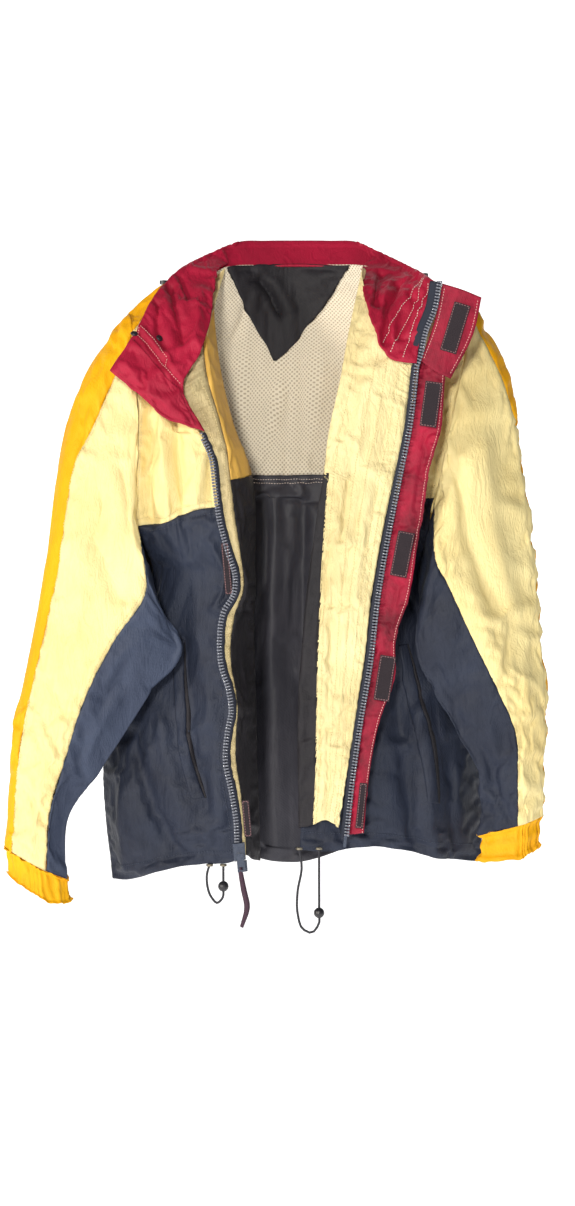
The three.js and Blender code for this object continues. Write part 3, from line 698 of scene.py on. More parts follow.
rightSleeve = Cloth(sleeveLoops([
    [(-268, -15, -147), (-162, -79, -436), (-222, -22, -424), 46, 58, 0.2, 0.78, 0.8],
    [(-290, -30, -225), (-143, -82, -474), (-230, -36, -470), 44, 52, 0.13, 0.74, 0.8],
    [(-309, -52, -374), (-179, -82, -531), (-240, -42, -526), 40, 40, 0.12, 0.66, 0.78],
    [(-328, -64, -483), (-214, -80, -586), (-252, -44, -580), 36, 32, 0.12, 0.62, 0.76],
    [(-344, -68, -568), (-243, -78, -632), (-264, -46, -626), 32, 26, 0.13, 0.66, 0.74],
    [(-352, -70, -645), (-276, -76, -684), (-282, -50, -680), 26, 20, 0.15, 0.72, 0.74],
    [(-356, -70, -720), (-280, -74, -760), (-284, -50, -756), 22, 18, 0.14, 0.7, 0.72],
], [(-203, -38, -93), (-194, -74, -215), (-196, -66, -333), (-179, -26, -392), (-179, -20, -393),
    (-188, 42, -330), (-194, 58, -212), (-206, 26, -88), (-213, 4, -64)]), 6.5, byIndex=True, closed=True,
    tight=(3, 4))
foldIn(rightSleeve, [
    (11, -7, (-236, -300), (-244, -352), (-216, -416)), (12, 4, (-262, -250), (-272, -330), (-262, -420)),
    (9, -5, (-215, -240), (-205, -330)), (6, -3, (-300, -520), (-276, -560)),
    (6, 3, (-318, -560), (-290, -610)), (5, -3, (-330, -640), (-306, -690)),
    (4, -2.5, (-246, -130), (-270, -230), (-292, -380), (-318, -540), (-342, -700)),
])

leftSleeve = Cloth(sleeveLoops([
    [(262, -12, -149), (143, -80, -426), (196, -22, -420), 48, 58, 0.06, 0.82, 0.8],
    [(271, -22, -225), (141, -83, -472), (202, -36, -468), 46, 52, 0.02, 0.72, 0.8],
    [(288, -46, -374), (162, -84, -531), (212, -42, -526), 40, 40, 0.02, 0.625, 0.78],
    [(295, -56, -471), (192, -82, -582), (226, -44, -576), 36, 32, 0.02, 0.55, 0.76],
    [(300, -62, -545), (210, -79, -620), (231, -46, -614), 32, 26, 0.02, 0.46, 0.74],
    [(297, -67, -625), (215, -76, -664), (229, -48, -660), 26, 20, 0.02, 0.42, 0.74],
    [(296, -68, -684), (217, -73, -708), (229, -50, -704), 22, 18, 0.02, 0.41, 0.72],
], [(216, -26, -78), (184, -74, -212), (166, -66, -304), (148, -30, -390), (152, -12, -393),
    (166, 42, -330), (186, 58, -210), (214, 26, -86), (223, 4, -60)]), 6.5, byIndex=True, closed=True,
    tight=(3, 4))
foldIn(leftSleeve, [
    (10, -6, (196, -270), (206, -340), (238, -430)), (12, 5, (228, -240), (238, -340), (262, -430)),
    (8, -4, (262, -450), (246, -520)), (8, 4, (276, -470), (268, -560)),
    (4, -4, (165, -505), (182, -535), (196, -575)),
], flip=-1)


for sheet in (rightSleeve, leftSleeve):
    longCreases(sheet, 16, 0.012, 3.0)


def wristRing(loop, drop, squeeze):
    # the elastic cuff carries the last loop on down its slope, drawn in a little
    loop = np.array(loop, float)
    middle = loop.mean(axis=0)
    depths = np.array([0.98, 1.02, 1.06, 0.80, 0.80, 1.06, 1.02, 1.0, 0.92])[:, None]
    rows = []
    for share, tightness in ((0.0, 1.0), (0.12, squeeze), (0.5, squeeze), (0.88, squeeze), (1.0, 1.0)):
        rows.append(middle + (loop - middle) * tightness + np.array(drop) * share * depths)
    return Cloth(rows, 2.5, byIndex=True, closed=True)


def loopAt(sleeve):
    marks = np.arange(0, 9, dtype=float)
    return sleeve.at(marks, np.full(9, sleeve.v[-1])) / mm


rightCuff = wristRing(loopAt(rightSleeve), (4, 0, -36), 0.92)
leftCuff = wristRing(loopAt(leftSleeve), (-2, 0, -38), 0.88)


# letting the cloth crumple
crumpling = {"frames": 16, "gravity": 0.15, "inward": 2.0}
relax = {"quality": 4, "mass": 0.1, "tension_stiffness": 14, "compression_stiffness": 14,
         "shear_stiffness": 7, "bending_stiffness": 0.05, "shrink_min": -0.05,
         "vertex_group_mass": "held", "air_damping": 3}


def gridObject(name, sheet):
    rows, columns = sheet.points.shape[:2]
    bm = bmesh.new()
    bmesh.ops.create_grid(bm, x_segments=columns - 1, y_segments=rows - 1, size=0.5)
    rowOf = bm.verts.layers.int.new("row")
    columnOf = bm.verts.layers.int.new("column")
    for v in bm.verts:
        i = round((v.co.x + 0.5) * (columns - 1))
        j = round((0.5 - v.co.y) * (rows - 1))
        v[rowOf], v[columnOf] = j, i
        v.co = sheet.points[j, i]
    if sheet.closed:
        bmesh.ops.remove_doubles(bm, verts=bm.verts, dist=1e-5)
    return addObject(name, meshFrom(name, bm))


def crumple(jobs):
    # each sheet is cut slightly too large for its place, so it buckles between its held seams
    running = []
    for name, sheet, held, cap in jobs:
        obj = gridObject(name, sheet)
        rows, columns = sheet.points.shape[:2]
        place = np.empty((len(obj.data.vertices), 2), int)
        for k, label in enumerate(("row", "column")):
            values = np.empty(len(place), np.int32)
            obj.data.attributes[label].data.foreach_get("value", values)
            place[:, k] = values
        pins = obj.vertex_groups.new(name="held")
        for index, (j, i) in enumerate(place):
            gaps = {"left": i, "right": columns - 1 - i, "top": j, "bottom": rows - 1 - j}
            distance = min([99] + [gap for edge, gap in gaps.items() if edge in held])
            for lines, marks, size, k in (("columns", sheet.u, columns, i), ("rows", sheet.v, rows, j)):
                for line in held.get(lines, ()):
                    distance = min(distance, abs(k - np.interp(line, marks, np.arange(size))))
            weight = 1.0 if distance < 0.7 else 0.35 if distance < 1.7 else 0.0
            if weight:
                pins.add([index], weight, "REPLACE")
        simulation = obj.modifiers.new("relax", "CLOTH")
        for label, value in relax.items():
            setattr(simulation.settings, label, value)
        simulation.settings.effector_weights.gravity = crumpling["gravity"]
        simulation.collision_settings.use_collision = False
        simulation.point_cache.frame_end = crumpling["frames"]
        running.append((obj, sheet, place, cap))
    for step in range(1, crumpling["frames"] + 1):
        scene.frame_set(step)
    graph = bpy.context.evaluated_depsgraph_get()
    for obj, sheet, place, cap in running:
        moved = obj.evaluated_get(graph).to_mesh()
        after = np.empty(len(moved.vertices) * 3)
        moved.vertices.foreach_get("co", after)
        shift = after.reshape(-1, 3) - sheet.points[place[:, 0], place[:, 1]]
        facing = gridNormals(sheet.points)[place[:, 0], place[:, 1]]
        inward = np.minimum((shift * facing).sum(axis=1) + crumpling["inward"] * mm, 0)
        shift -= facing * inward[:, None]
        length = np.maximum(np.linalg.norm(shift, axis=1, keepdims=True), 1e-9)
        limit = cap * mm
        shift = shift * (limit * np.tanh(length / limit) / length)
        sheet.points[place[:, 0], place[:, 1]] += shift
        if sheet.closed:
            sheet.points[:, -1] = sheet.points[:, 0]
        bpy.data.objects.remove(obj, do_unlink=True)
    scene.frame_set(1)


around = {"left": 1, "right": 1, "top": 1, "bottom": 1}
crumple([
    ("simRightFront", rightFront, {**around, "rows": (3,)}, 8),
    ("simLeftFront", leftFront, {**around, "rows": (3,)}, 6),
    ("simLapel", leftLapel, {"columns": (0, 1, 2, 4), "top": 1}, 5),
    ("simInner", rightInner, {"columns": (0, 1, 3), "top": 1, "bottom": 1}, 5),
    ("simBack", backShell, {**around, "rows": (3,)}, 9),
    ("simLining", backLining, {**around, "rows": (2,)}, 6),
    ("simCollarRight", collarRight, around, 6),
    ("simCollarLeft", collarLeft, around, 6),
    ("simFlap", stormFlap, around, 2.5),
    ("simRightSleeve", rightSleeve, {"columns": (0, 2, 7), "top": 1, "bottom": 1}, 8),
    ("simLeftSleeve", leftSleeve, {"columns": (0, 2, 7), "top": 1, "bottom": 1}, 8),
])
print("cloth crumpled")


# making pieces from the surfaces
def setUp(name, bm, material):
    obj = addObject(name, meshFrom(name, bm))
    obj.data.materials.append(cloth[material])
    return obj


def bakeModifiers(obj):
    graph = bpy.context.evaluated_depsgraph_get()
    mesh = bpy.data.meshes.new_from_object(obj.evaluated_get(graph))
    obj.modifiers.clear()
    obj.data = mesh
    return obj


def smoothShade(obj):
    obj.data.polygons.foreach_set("use_smooth", [True] * len(obj.data.polygons))
    return obj


def windowOf(u0, u1, v0, v1):
    return lambda s, t: (u0 + (u1 - u0) * s, v0 + (v1 - v0) * t)


def measure(sheet, window):
    s, t = np.meshgrid(np.linspace(0, 1, 9), np.linspace(0, 1, 9))
    u, v = window(s.ravel(), t.ravel())
    grid = sheet.at(u, v).reshape(9, 9, 3)
    width = np.linalg.norm(np.diff(grid, axis=1), axis=2).sum(axis=1).mean()
    height = np.linalg.norm(np.diff(grid, axis=0), axis=2).sum(axis=0).mean()
    return width, height


def clothGrid(sheet, window, cell, lift=0.0, shape=None):
    width, height = measure(sheet, window)
    columns = max(2, round(width / (cell * mm)))
    rows = max(2, round(height / (cell * mm)))
    s, t = np.meshgrid(np.linspace(0, 1, columns + 1), np.linspace(0, 1, rows + 1))
    u, v = window(s.ravel(), t.ravel())
    grid = sheet.at(u, v).reshape(rows + 1, columns + 1, 3)
    normal = gridNormals(grid)
    out = np.full(s.shape, lift * mm)
    if shape is not None:
        out = out + shape(s, t, width / mm, height / mm) * mm
    return grid + normal * out[..., None], width, height


def awayFrom(edge, s, t, width, height):
    return {"left": s * width, "right": (1 - s) * width, "top": t * height, "bottom": (1 - t) * height}[edge]


def seamDents(edges, pucker=0.5, depth=0.7):
    # cloth dips at its seams and puckers beside them
    def shape(s, t, width, height):
        total = np.zeros_like(s)
        for edge in edges:
            away = awayFrom(edge, s, t, width, height)
            run = t * height if edge in ("left", "right") else s * width
            total -= depth * np.exp(-((away / 1.6) ** 2))
            ripple = np.sin(run * 0.62 + 1.7 * np.sin(run * 0.11)) * np.sin(run * 0.23 + 0.6)
            total += pucker * ripple * np.exp(-((away - 4) / 6) ** 2)
        return total
    return shape


def hemFold(edge, width=22, step=0.9):
    # a turned hem is doubled cloth: a low step with a stitched dip along it
    def shape(s, t, wide, high):
        away = awayFrom(edge, s, t, wide, high)
        return step / (1 + np.exp((away - width) / 0.8)) - 0.5 * np.exp(-(((away - width) / 1.5) ** 2))
    return shape


def together(*shapes):
    return lambda s, t, w, h: sum(shape(s, t, w, h) for shape in shapes)


def gridMesh(points, width, height):
    # a flat grid whose corners go to the points, with the cloth's size in metres as its UV map
    rows, columns = points.shape[:2]
    bm = bmesh.new()
    bmesh.ops.create_grid(bm, x_segments=columns - 1, y_segments=rows - 1, size=0.5)
    uv = bm.loops.layers.uv.verify()
    for face in bm.faces:
        for loop in face.loops:
            loop[uv].uv = ((loop.vert.co.x + 0.5) * width, (loop.vert.co.y + 0.5) * height)
    for v in bm.verts:
        v.co = points[round((0.5 - v.co.y) * (rows - 1)), round((v.co.x + 0.5) * (columns - 1))]
    if np.allclose(points[:, 0], points[:, -1], atol=2e-5):
        bmesh.ops.remove_doubles(bm, verts=bm.verts, dist=4e-5)
    return bm


def walled(name, bm, material, thick):
    obj = setUp(name, bm, material)
    wall = obj.modifiers.new("thickness", "SOLIDIFY")
    wall.thickness = thick * mm
    wall.offset = -1
    return smoothShade(bakeModifiers(obj))


def clothPiece(name, sheet, window, material, body, nodes=(), cell=3.2, thick=0.6, lift=0.0, shape=None,
               blendTo=None):
    if isinstance(window, tuple):
        window = windowOf(*window)
    points, width, height = clothGrid(sheet, window, cell, lift, shape)
    obj = walled(name, gridMesh(points, width, height), material, thick)
    attach(obj, body, nodes, blendTo)
    return obj


# body cloth
armhole = {
    "right": {"body": "right_sleeve", "start": (-0.229, 0, -0.236), "end": (-0.367, 0, -0.279)},
    "left": {"body": "left_sleeve", "start": (0.229, 0, -0.236), "end": (0.367, 0, -0.279)},
}

panels = [
    ("rightFrontYoke", rightFront, 0, 3, "cream", "right_front_yoke", ("bottom", "left")),
    ("leftFrontYoke", leftFront, 0, 3, "cream", "left_front_yoke", ("bottom", "right")),
    ("backYoke", backShell, 0, 3, "cream", "back_yoke", ("bottom", "left", "right")),
    ("meshLining", backLining, 0, 2, "mesh", "mesh_lining", ("bottom",)),
    ("rightFrontPanel", rightFront, 3, 8, "navy", "right_front_panel", ("top", "left")),
    ("leftFrontPanel", leftFront, 3, 8, "navy", "left_front_panel", ("top", "right")),
    ("backPanel", backShell, 3, 8, "navy", "back_panel", ("top", "left", "right")),
    ("lowerLining", backLining, 2, 5, "lining", "lower_lining", ("top",)),
]
for name, sheet, v0, v1, material, node, seams in panels:
    shape, cell = (together(seamDents(seams), hemFold("bottom")), 3.2) if v0 else (seamDents(seams), 3.0)
    clothPiece(name, sheet, (0, 1, v0, v1), material, "torso", [node], cell, shape=shape)


def facingWindow(s, t):
    v = 11 * t
    inner = 2 * np.clip((v - 4.0) / 0.2, 0, 1)
    return inner + (4 - inner) * s, v


def patchWindow(s, t):
    left, right = 0.155 + 0.255 * t, 0.76 - 0.34 * t
    return left + (right - left) * s, 1.02 * t


clothPiece("leftFacing", leftLapel, facingWindow, "facing", "torso", ["left_facing"], 2.4,
           shape=seamDents(("right",), 0.6))
# the left inner lining takes the dark taffeta, darker than the lining cloth: partly painted shade
clothPiece("leftInnerLining", leftLapel, (0, 2.04, 4.1, 11), "dark", "torso",
           ["left_inner_lining"], 3)
# the right facing takes the darker facing colour: painted shade
clothPiece("rightFacing", rightInner, (0, 1, 0, 8), "paintedShadeFacing", "torso", ["right_facing"], 2.4,
           shape=seamDents(("left", "right"), 0.6))
# the upper inside of the right front takes the browned cream: painted shade
clothPiece("innerFrontUpper", rightInner, (1, 3, 0, 4), "paintedShadeYoke", "torso", [], 3,
           shape=seamDents(("bottom",)))
# the lower inside of the right front in dark taffeta: painted shade
clothPiece("innerFrontLower", rightInner, (1, 3, 4, 8), "dark", "torso", [], 3)
clothPiece("neckPatch", backLining, patchWindow, "dark", "torso", ["neck_patch"], 3, lift=3,
           shape=seamDents(("left", "right", "top"), 0.4))
print("body ready")


# collar
clothPiece("collarRight", collarRight, (0, 1, 0, 3), "red", "torso", ["collar_right"], 2.4,
           thick=2.2, shape=hemFold("top", 12, 0.8))
clothPiece("collarPlacket", collarRight, (0.015, 0.17, 0.12, 2.8), "red", "torso",
           ["collar_placket"], 2.2, lift=1.4, thick=1.0)
clothPiece("collarLeft", collarLeft, (0, 1, 0, 2), "red", "torso", ["collar_left"], 2.4,
           thick=2.2, shape=hemFold("top", 10, 0.8))
clothPiece("collarBack", collarBack, (0, 1, 0, 1), "red", "torso", ["collar_back"], 2.6,
           thick=2.2, shape=hemFold("top", 10, 0.8))


# sleeves and cuffs
def elastic(sheet):
    # narrow gathers round the cuff, drawn flat along the rows of elastic
    def shape(s, t, width, height):
        run = s * width
        swell = np.sin(run * 0.38 + 2.2 * np.sin(run * 0.09) + 1.6 * t)
        tucks = np.sin(run * 0.83 + 1.9 * np.sin(run * 0.17 + 2.3 * t))
        rows = np.cos(t * math.pi * 6)
        sharp = np.sign(tucks) * np.abs(tucks) ** 0.6 * (0.7 + 0.3 * rows)
        return 1.0 + 1.2 * swell + 1.1 * sharp + 0.6 * rows
    return shape


def sleeveWindow(u0, u1, end, slip):
    # the stripe's front seam slips round behind the arm below the shoulder
    def window(s, t):
        back = slip * np.clip((t * end - 1.3) / 1.2, 0, 1)
        first = u0 - back * (u0 == 9)
        last = u1 - back * (u1 == 9)
        return first + (last - first) * s, end * t
    return window


# the right gusset takes the lighter navy copy as painted light; the left gusset is plain navy
for side, sleeve, cuff, slip, gusset in (("right", rightSleeve, rightCuff, 0.0, "gusset"),
                                         ("left", leftSleeve, leftCuff, 0.55, "navy")):
    end = sleeve.v[-1]
    parts = [
        ("SleeveFront", 9, 11, "cream", "front"),
        ("SleeveGusset", 2, 5, gusset, "gusset"),
        ("SleeveBack", 5, 7, "cream", "back"),
        ("SleeveStripe", 7, 9, "yellow", "stripe"),
    ]
    for label, u0, u1, material, node in parts:
        clothPiece(side + label, sleeve, sleeveWindow(u0, u1, end, slip), material, "torso",
                   [f"{side}_sleeve_{node}"], 3.2, shape=seamDents(("left", "right"), 0.7, 0.9),
                   blendTo=armhole[side])
    clothPiece(side + "Cuff", cuff, (0, 9, 0, 4), "yellow", side + "_sleeve", [side + "_cuff"], 1.5,
               shape=elastic(cuff))


def shoulderWindow(flip):
    # the stripe runs on over the shoulder to the collar, narrowing down the armhole
    def window(s, t):
        reach = s * (0.46 - 0.44 * t ** 0.7)
        return (1 - reach if flip else reach), 0.85 * t
    return window


for side, sheet, flip in (("right", rightFront, False), ("left", leftFront, True)):
    clothPiece(side + "ShoulderStripe", sheet, shoulderWindow(flip), "yellow", "torso", [], 2.6, lift=1.1)
print("sleeves ready")


# pockets
pockets = {
    "right": {"sheet": rightFront, "u": 0.57, "v": 5.0, "run": 1.6, "slant": 0.18, "width": 0.07},
    "left": {"sheet": leftFront, "u": 0.54, "v": 5.0, "run": 1.8, "slant": 0.05, "width": 0.055},
}


def addPocket(side, spec):
    u, v, run, slant, width = (spec[label] for label in ("u", "v", "run", "slant", "width"))

    def welt(s, t):
        return u + slant * t + width * s, v + run * t

    def gap(s, t):
        taper = np.sin(np.pi * np.clip(t * 0.9 + 0.05, 0, 1)) ** 0.5
        return u + slant * t + width * (1 + 0.32 * s * taper), v + run * t

    def roll(s, t, width, height):
        return 1.4 * np.sqrt(np.clip(1 - (2 * s - 1) ** 2, 0, 1)) * np.clip(np.minimum(t, 1 - t) * 12, 0, 1)

    clothPiece(side + "PocketWelt", spec["sheet"], welt, "navy", "torso", [side + "_pocket_welt"], 1.6,
               lift=0.3, shape=roll)
    # a dark sheet in the pocket opening: painted shade in the slit
    points, _, _ = clothGrid(spec["sheet"], gap, 2.0, 0.45)
    attach(walled(side + "PocketMouth", gridMesh(points, 1, 1), "dark", 0.3), "torso")


for side, spec in pockets.items():
    addPocket(side, spec)


# storm flap and collar flap, red with patches of painted shade
clothPiece("stormFlap", stormFlap, (0, 1, 0, stormFlap.v[-1]), "flapRedPaintedShade", "storm_flap",
           ["storm_flap"], 2.2, thick=1.2, shape=seamDents(("left", "right"), 0.9, 0.4))
clothPiece("collarFlap", collarFlap, (0, 1, 0, 2), "flapRedPaintedShade", "torso", ["collar_flap"], 2.4,
           thick=1.2, shape=seamDents(("left", "right"), 0.5, 0.4))


# stamped details: stitches, zip teeth, hook tape
def stampAll(name, template, places, material):
    bm = bmesh.new()
    for matrix in places:
        copy = template.copy()
        copy.transform(matrix)
        bm.from_mesh(copy)
        bpy.data.meshes.remove(copy)
    bmesh.ops.recalc_face_normals(bm, faces=bm.faces)
    return smoothShade(setUp(name, bm, material))


def templateOf(build):
    bm = bmesh.new()
    build(bm)
    return meshFrom("template", bm)


def box(bm, size, place=(0, 0, 0)):
    corners = bmesh.ops.create_cube(bm, size=1)["verts"]
    bmesh.ops.scale(bm, verts=corners, vec=[side * mm for side in size])
    bmesh.ops.translate(bm, verts=corners, vec=[side * mm for side in place])


def soften(bm, offset, segments=1):
    bmesh.ops.bevel(bm, geom=bm.edges[:], offset=offset * mm, segments=segments, affect="EDGES", profile=0.5,
                    material=-1)


def framed(x, y, z, place):
    # a frame with these axes, standing at a place
    matrix = Matrix((x, y, z)).transposed().to_4x4()
    matrix.translation = place
    return matrix


def threadShape(bm):
    bmesh.ops.create_icosphere(bm, subdivisions=1, radius=1)
    bmesh.ops.scale(bm, verts=bm.verts, vec=(1.4 * mm, 0.5 * mm, 0.42 * mm))


threadMesh = templateOf(threadShape)


def stitchPlaces(sheet, line, pitch=3.4, lift=0.35):
    line = np.array(line, float)
    legs = runAlong(line)
    fine = np.linspace(0, legs[-1], 240)
    u, v = np.interp(fine, legs, line[:, 0]), np.interp(fine, legs, line[:, 1])
    run = runAlong(sheet.at(u, v))
    marks = np.arange(pitch * mm / 2, run[-1], pitch * mm)
    u, v = np.interp(marks, run, u), np.interp(marks, run, v)
    here = sheet.at(u, v)
    du, dv = 0.004 * sheet.u[-1], 0.004 * sheet.v[-1]
    across = sheet.at(np.minimum(u + du, sheet.u[-1]), v) - sheet.at(np.maximum(u - du, 0), v)
    down = sheet.at(u, np.minimum(v + dv, sheet.v[-1])) - sheet.at(u, np.maximum(v - dv, 0))
    normal = np.cross(across, -down)
    normal /= np.maximum(np.linalg.norm(normal, axis=1, keepdims=True), 1e-9)
    places = []
    for point, n, tangent in zip(here, normal, np.gradient(here, axis=0)):
        x = Vector(tangent).normalized()
        z = (Vector(n) - x * x.dot(Vector(n))).normalized()
        places.append(framed(x, z.cross(x), z, Vector(point) + z * (lift * mm)))
    return places


def stitchPiece(name, runs, thread, body, blendTo=None, lift=0.35):
    # each run is a sheet, "down" at a share u or "across" at a row v, and where it starts and ends
    places = []
    for sheet, way, at, start, end in runs:
        line = [(at, start), (at, end)] if way == "down" else [(start, at), (end, at)]
        places += stitchPlaces(sheet, line, lift=lift)
    attach(stampAll(name, threadMesh, places, thread), body, blendTo=blendTo)


stitchPiece("creamStitches", [
    (rightFront, "across", 2.93, 0, 1), (rightFront, "down", 0.955, 1.9, 3),
    (rightFront, "down", 0.90, 1.9, 3),
    (leftFront, "across", 2.94, 0.3, 1), (backShell, "across", 2.93, 0, 1), (backShell, "across", 2.86, 0, 1),
    (rightFront, "down", 0.03, 0.2, 3), (leftFront, "down", 0.97, 0.2, 3), (leftLapel, "down", 3.8, 0, 11),
    (leftLapel, "down", 3.6, 0.4, 11), (leftLapel, "down", 3.25, 0.8, 11), (leftLapel, "down", 2.9, 1, 11),
    (leftLapel, "down", 2.25, 1, 11), (rightInner, "down", 0.3, 2, 8), (rightInner, "down", 0.7, 2, 8),
], "creamThread", "torso")
stitchPiece("navyStitches", [
    (rightFront, "across", 3.1, 0, 1), (rightFront, "across", 7.68, 0, 1), (rightFront, "down", 0.95, 3, 8),
    (leftFront, "across", 7.6, 0, 1), (leftFront, "across", 3.08, 0.3, 1), (backShell, "across", 3.07, 0, 1),
    (backShell, "across", 7.62, 0, 1),
], "navyThread", "torso")
stitchPiece("liningStitches", [
    (backLining, "across", 2.04, 0, 1), (backLining, "across", 2.075, 0, 1),
    *((collarLeft, "down", share, 0.1, 1.9) for share in (0.93, 0.86, 0.79)),
], "whiteThread", "torso", lift=1.0)
stitchPiece("collarStitches", [
    (collarRight, "down", 0.2, 0.1, 2.9), (collarRight, "down", 0.245, 0.1, 1.9),
    (collarRight, "across", 0.1, 0.2, 0.245), (collarRight, "across", 1.9, 0.2, 0.245),
], "pinkThread", "torso", lift=1.0)
stitchPiece("flapStitches", [(stormFlap, "down", 0.92, 0.1, stormFlap.v[-1])],
            "pinkThread", "storm_flap", lift=0.5)
stitchPiece("collarFlapStitches", [(collarFlap, "down", share, 0.1, 1.9) for share in (0.08, 0.92)],
            "pinkThread", "torso", lift=0.5)
for side, sleeve, last in (("right", rightSleeve, rightSleeve.v[-1]), ("left", leftSleeve, 1.4)):
    runs = [(sleeve, "down", 0.06, 0.05, last)]
    runs += [(sleeve, "down", seam, 0.05, sleeve.v[-1]) for seam in (6.94, 1.93, 5.05)]
    stitchPiece(side + "SleeveStitches", runs, "creamThread", "torso", armhole[side])
print("stitches ready")


# zips
zips = {"pitch": 3.7, "tapeWidth": 11.0}


def toothShape(bm):
    # a moulded tooth: a root on the tape and a wider head
    box(bm, (4.2, 2.6, 1.9), (1.6, 0, 0))
    box(bm, (2.6, 3.2, 2.8), (4.6, 0, 0))
    soften(bm, 0.35)


toothMesh = templateOf(toothShape)


def makeZip(label, path, side, teethNode, tapeNode, turn):
    places, tangents = along(path, zips["pitch"])
    matrices = []
    for point, tangent in zip(places, tangents):
        z = Vector(tangent).normalized()
        x = Vector((0, 1, 0)).cross(z).normalized() * side
        if x.x * side < 0:
            x = -x
        matrices.append(framed(x, z.cross(x), z, Vector(point) * mm))
    # the teeth take the lighter zip colour: painted highlight
    attach(stampAll("zipTeeth" + label, toothMesh, matrices, "teeth"), "torso", [teethNode])
    rows = []
    for point, matrix in zip(places, matrices):
        outward = np.array(matrix.col[0][:3])
        rows.append([point - outward * share * zips["tapeWidth"] + np.array([0, lift, 0])
                     for share, lift in turn])
    if side > 0:
        rows = [row[::-1] for row in rows]
    rows = rows[::-1]
    tape = Cloth(rows[::3] + ([rows[-1]] if (len(rows) - 1) % 3 else []), 2.2, byIndex=True)
    clothPiece("zipTape" + label, tape, (0, 3, 0, tape.v[-1]), "tape", "torso", [tapeNode], 2.2)


rightPath = [(x, -92, z) for z, x in wavyZip[::-1]]
tapeTurns = {"turned": ((-0.15, 0.8), (0.12, 0.8), (0.32, 3.6), (0.42, 10.5)),
             "flat": ((-0.45, 1.2), (0.2, 0.9), (0.5, 2.0), (0.8, 4.0))}
makeZip("Right", rightPath, -1, "zip_teeth_right", "zip_tape_right", tapeTurns["turned"])
makeZip("Left", [(55, -95, -704), (62, -95, -639), (72, -95, -567), (84, -95, -495), (92, -95, -423),
                 (104, -95, -351), (118, -95, -279), (132, -95, -207), (139, -97, -141)],
        1, "zip_teeth_left", "zip_tape_left", tapeTurns["turned"])
makeZip("Collar", [(139, -101, -141), (143, -101, -130), (150, -101, -100), (160, -101, -75),
                   (166, -101, -42)], 1, "zip_teeth_collar", "zip_tape_collar", tapeTurns["flat"])
print("zips ready")


# snaps on the collar
collarSnaps = {"right": {"sheet": collarRight, "at": [(-199, -101), (-170, -106)], "radius": 4.6}}


def snapShape(bm, radius):
    bmesh.ops.create_cone(bm, segments=24, radius1=radius * mm, radius2=radius * 0.8 * mm, depth=1.8 * mm,
                          cap_ends=True)
    top = [f for f in bm.faces if f.normal.z > 0.9]
    bmesh.ops.inset_region(bm, faces=top, thickness=radius * 0.3 * mm, depth=-0.5 * mm)
    soften(bm, 0.2)


def nearestOn(sheet, x, z):
    away = np.linalg.norm(sheet.points[..., [0, 2]] - np.array([x, z]) * mm, axis=2)
    j, i = np.unravel_index(np.argmin(away), away.shape)
    return Vector(sheet.points[j, i]), Vector(gridNormals(sheet.points)[j, i])


for side, spec in collarSnaps.items():
    snapMesh = templateOf(lambda bm: snapShape(bm, spec["radius"]))
    places = []
    for x, z in spec["at"]:
        point, normal = nearestOn(spec["sheet"], x, z)
        matrix = normal.to_track_quat("Z", "Y").to_matrix().to_4x4()
        matrix.translation = point + normal * (1.3 * mm)
        places.append(matrix)
    attach(stampAll(side + "CollarSnaps", snapMesh, places, "plastic"), "torso")


# hook tape
stripPitch = {"across": 1.5, "down": 1.7, "jitter": 0.2, "lean": 0.5}
hookTape = [  # node, body, place, size, tilt
    ("hook_strip_1", "torso", (187, -105.5, -98), (20, 60), 17),
    ("hook_strip_2", "storm_flap", (158, -104.5, -189), (20, 54), 8),
    ("hook_strip_3", "storm_flap", (124, -104.5, -368), (20, 54), 11),
    ("hook_strip_4", "storm_flap", (103, -104.5, -516), (19, 54), 9),
    ("hook_strip_5", "storm_flap", (75, -104, -668), (9, 54), 6),
    ("loop_strip_1", "torso", (-86, -92.5, -385), (9, 62), -5),
    ("loop_strip_2", "torso", (-62, -90, -685), (9, 44), -5),
]


def bristleShape(bm):
    bmesh.ops.create_cone(bm, segments=5, radius1=0.34 * mm, radius2=0.2 * mm, depth=1.1 * mm, cap_ends=True)
    bmesh.ops.rotate(bm, verts=bm.verts, cent=(0, 0, 0), matrix=Matrix.Rotation(math.pi / 2, 3, "X"))


bristleMesh = templateOf(bristleShape)


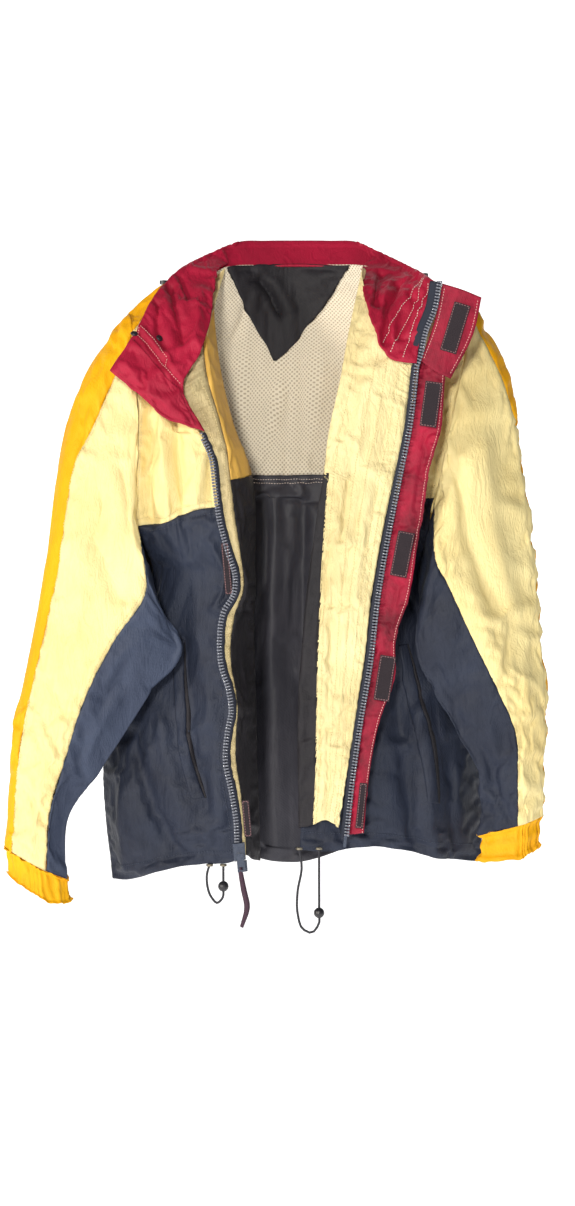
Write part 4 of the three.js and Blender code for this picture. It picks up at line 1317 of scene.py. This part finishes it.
def makeStrip(node, body, place, size, tilt):
    wide, long = size
    turn = Matrix.Translation(Vector(place) * mm) @ Matrix.Rotation(math.radians(tilt), 4, "Y")
    across, down, jitter, lean = stripPitch.values()
    bm = bmesh.new()
    box(bm, (wide, 1.1, long))
    soften(bm, 0.4, 2)
    for row in range(int(long / down) - 2):
        for column in range(int(wide / across) - 2):
            x = (column + 1.5 + 0.5 * (row % 2)) * across - wide / 2 + chance.uniform(-jitter, jitter)
            z = (row + 1.5) * down - long / 2 + chance.uniform(-jitter, jitter)
            turned, tipped = (Matrix.Rotation(chance.uniform(-lean, lean), 4, axis) for axis in "ZX")
            copy = bristleMesh.copy()
            copy.transform(Matrix.Translation((x * mm, -0.9 * mm, z * mm)) @ turned @ tipped)
            bm.from_mesh(copy)
            bpy.data.meshes.remove(copy)
    bmesh.ops.transform(bm, matrix=turn, verts=bm.verts)
    bmesh.ops.recalc_face_normals(bm, faces=bm.faces)
    name = node.replace("_", "")
    attach(setUp(name + "Tape", bm, "hook"), body, [node])
    edge = []
    corners = [(-1, -1), (1, -1), (1, 1), (-1, 1), (-1, -1)]
    corners = [Vector((i * (wide / 2 - 1.4), -0.75, k * (long / 2 - 1.4))) * mm for i, k in corners]
    for a, b in zip(corners, corners[1:]):
        count = max(2, round((b - a).length / (3.2 * mm)))
        x, z = (b - a).normalized(), Vector((0, -1, 0))
        edge += [turn @ framed(x, x.cross(z), z, a + (b - a) * ((k + 0.5) / count)) for k in range(count)]
    attach(stampAll(name + "Border", threadMesh, edge, "hookThread"), body)


for strip in hookTape:
    makeStrip(*strip)


# ribbon on the pull, and the small hard parts
ribbon = Cloth([
    [(-73, -98, -742), (-70.5, -99, -742), (-68, -98, -741)],
    [(-69, -102, -768), (-65.5, -103.5, -768), (-62, -102, -768)],
    [(-65, -101, -790), (-61.5, -103, -790), (-58, -101, -790)],
    [(-70, -100, -813), (-68, -101, -814), (-66, -100, -815)],
], 2)
clothPiece("pullRibbon", ribbon, (0, 1, 0, 3), "ribbon", "zip_pull", ["zip_ribbon"], 2, thick=0.8)

hardParts = {
    "zip": ["zip_box", "zip_pin", "zip_slider", "zip_pull"],
    "plastic": ["right_cord_lock", "left_cord_lock", "hood_stud_right", "hood_stud_left"],
    "metal": ["right_eyelet_1", "right_eyelet_2", "left_eyelet_1", "left_eyelet_2"],
}
for material, names in hardParts.items():
    for name in names:
        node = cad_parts[name]
        for slot in node.material_slots:
            slot.material = cloth[material]
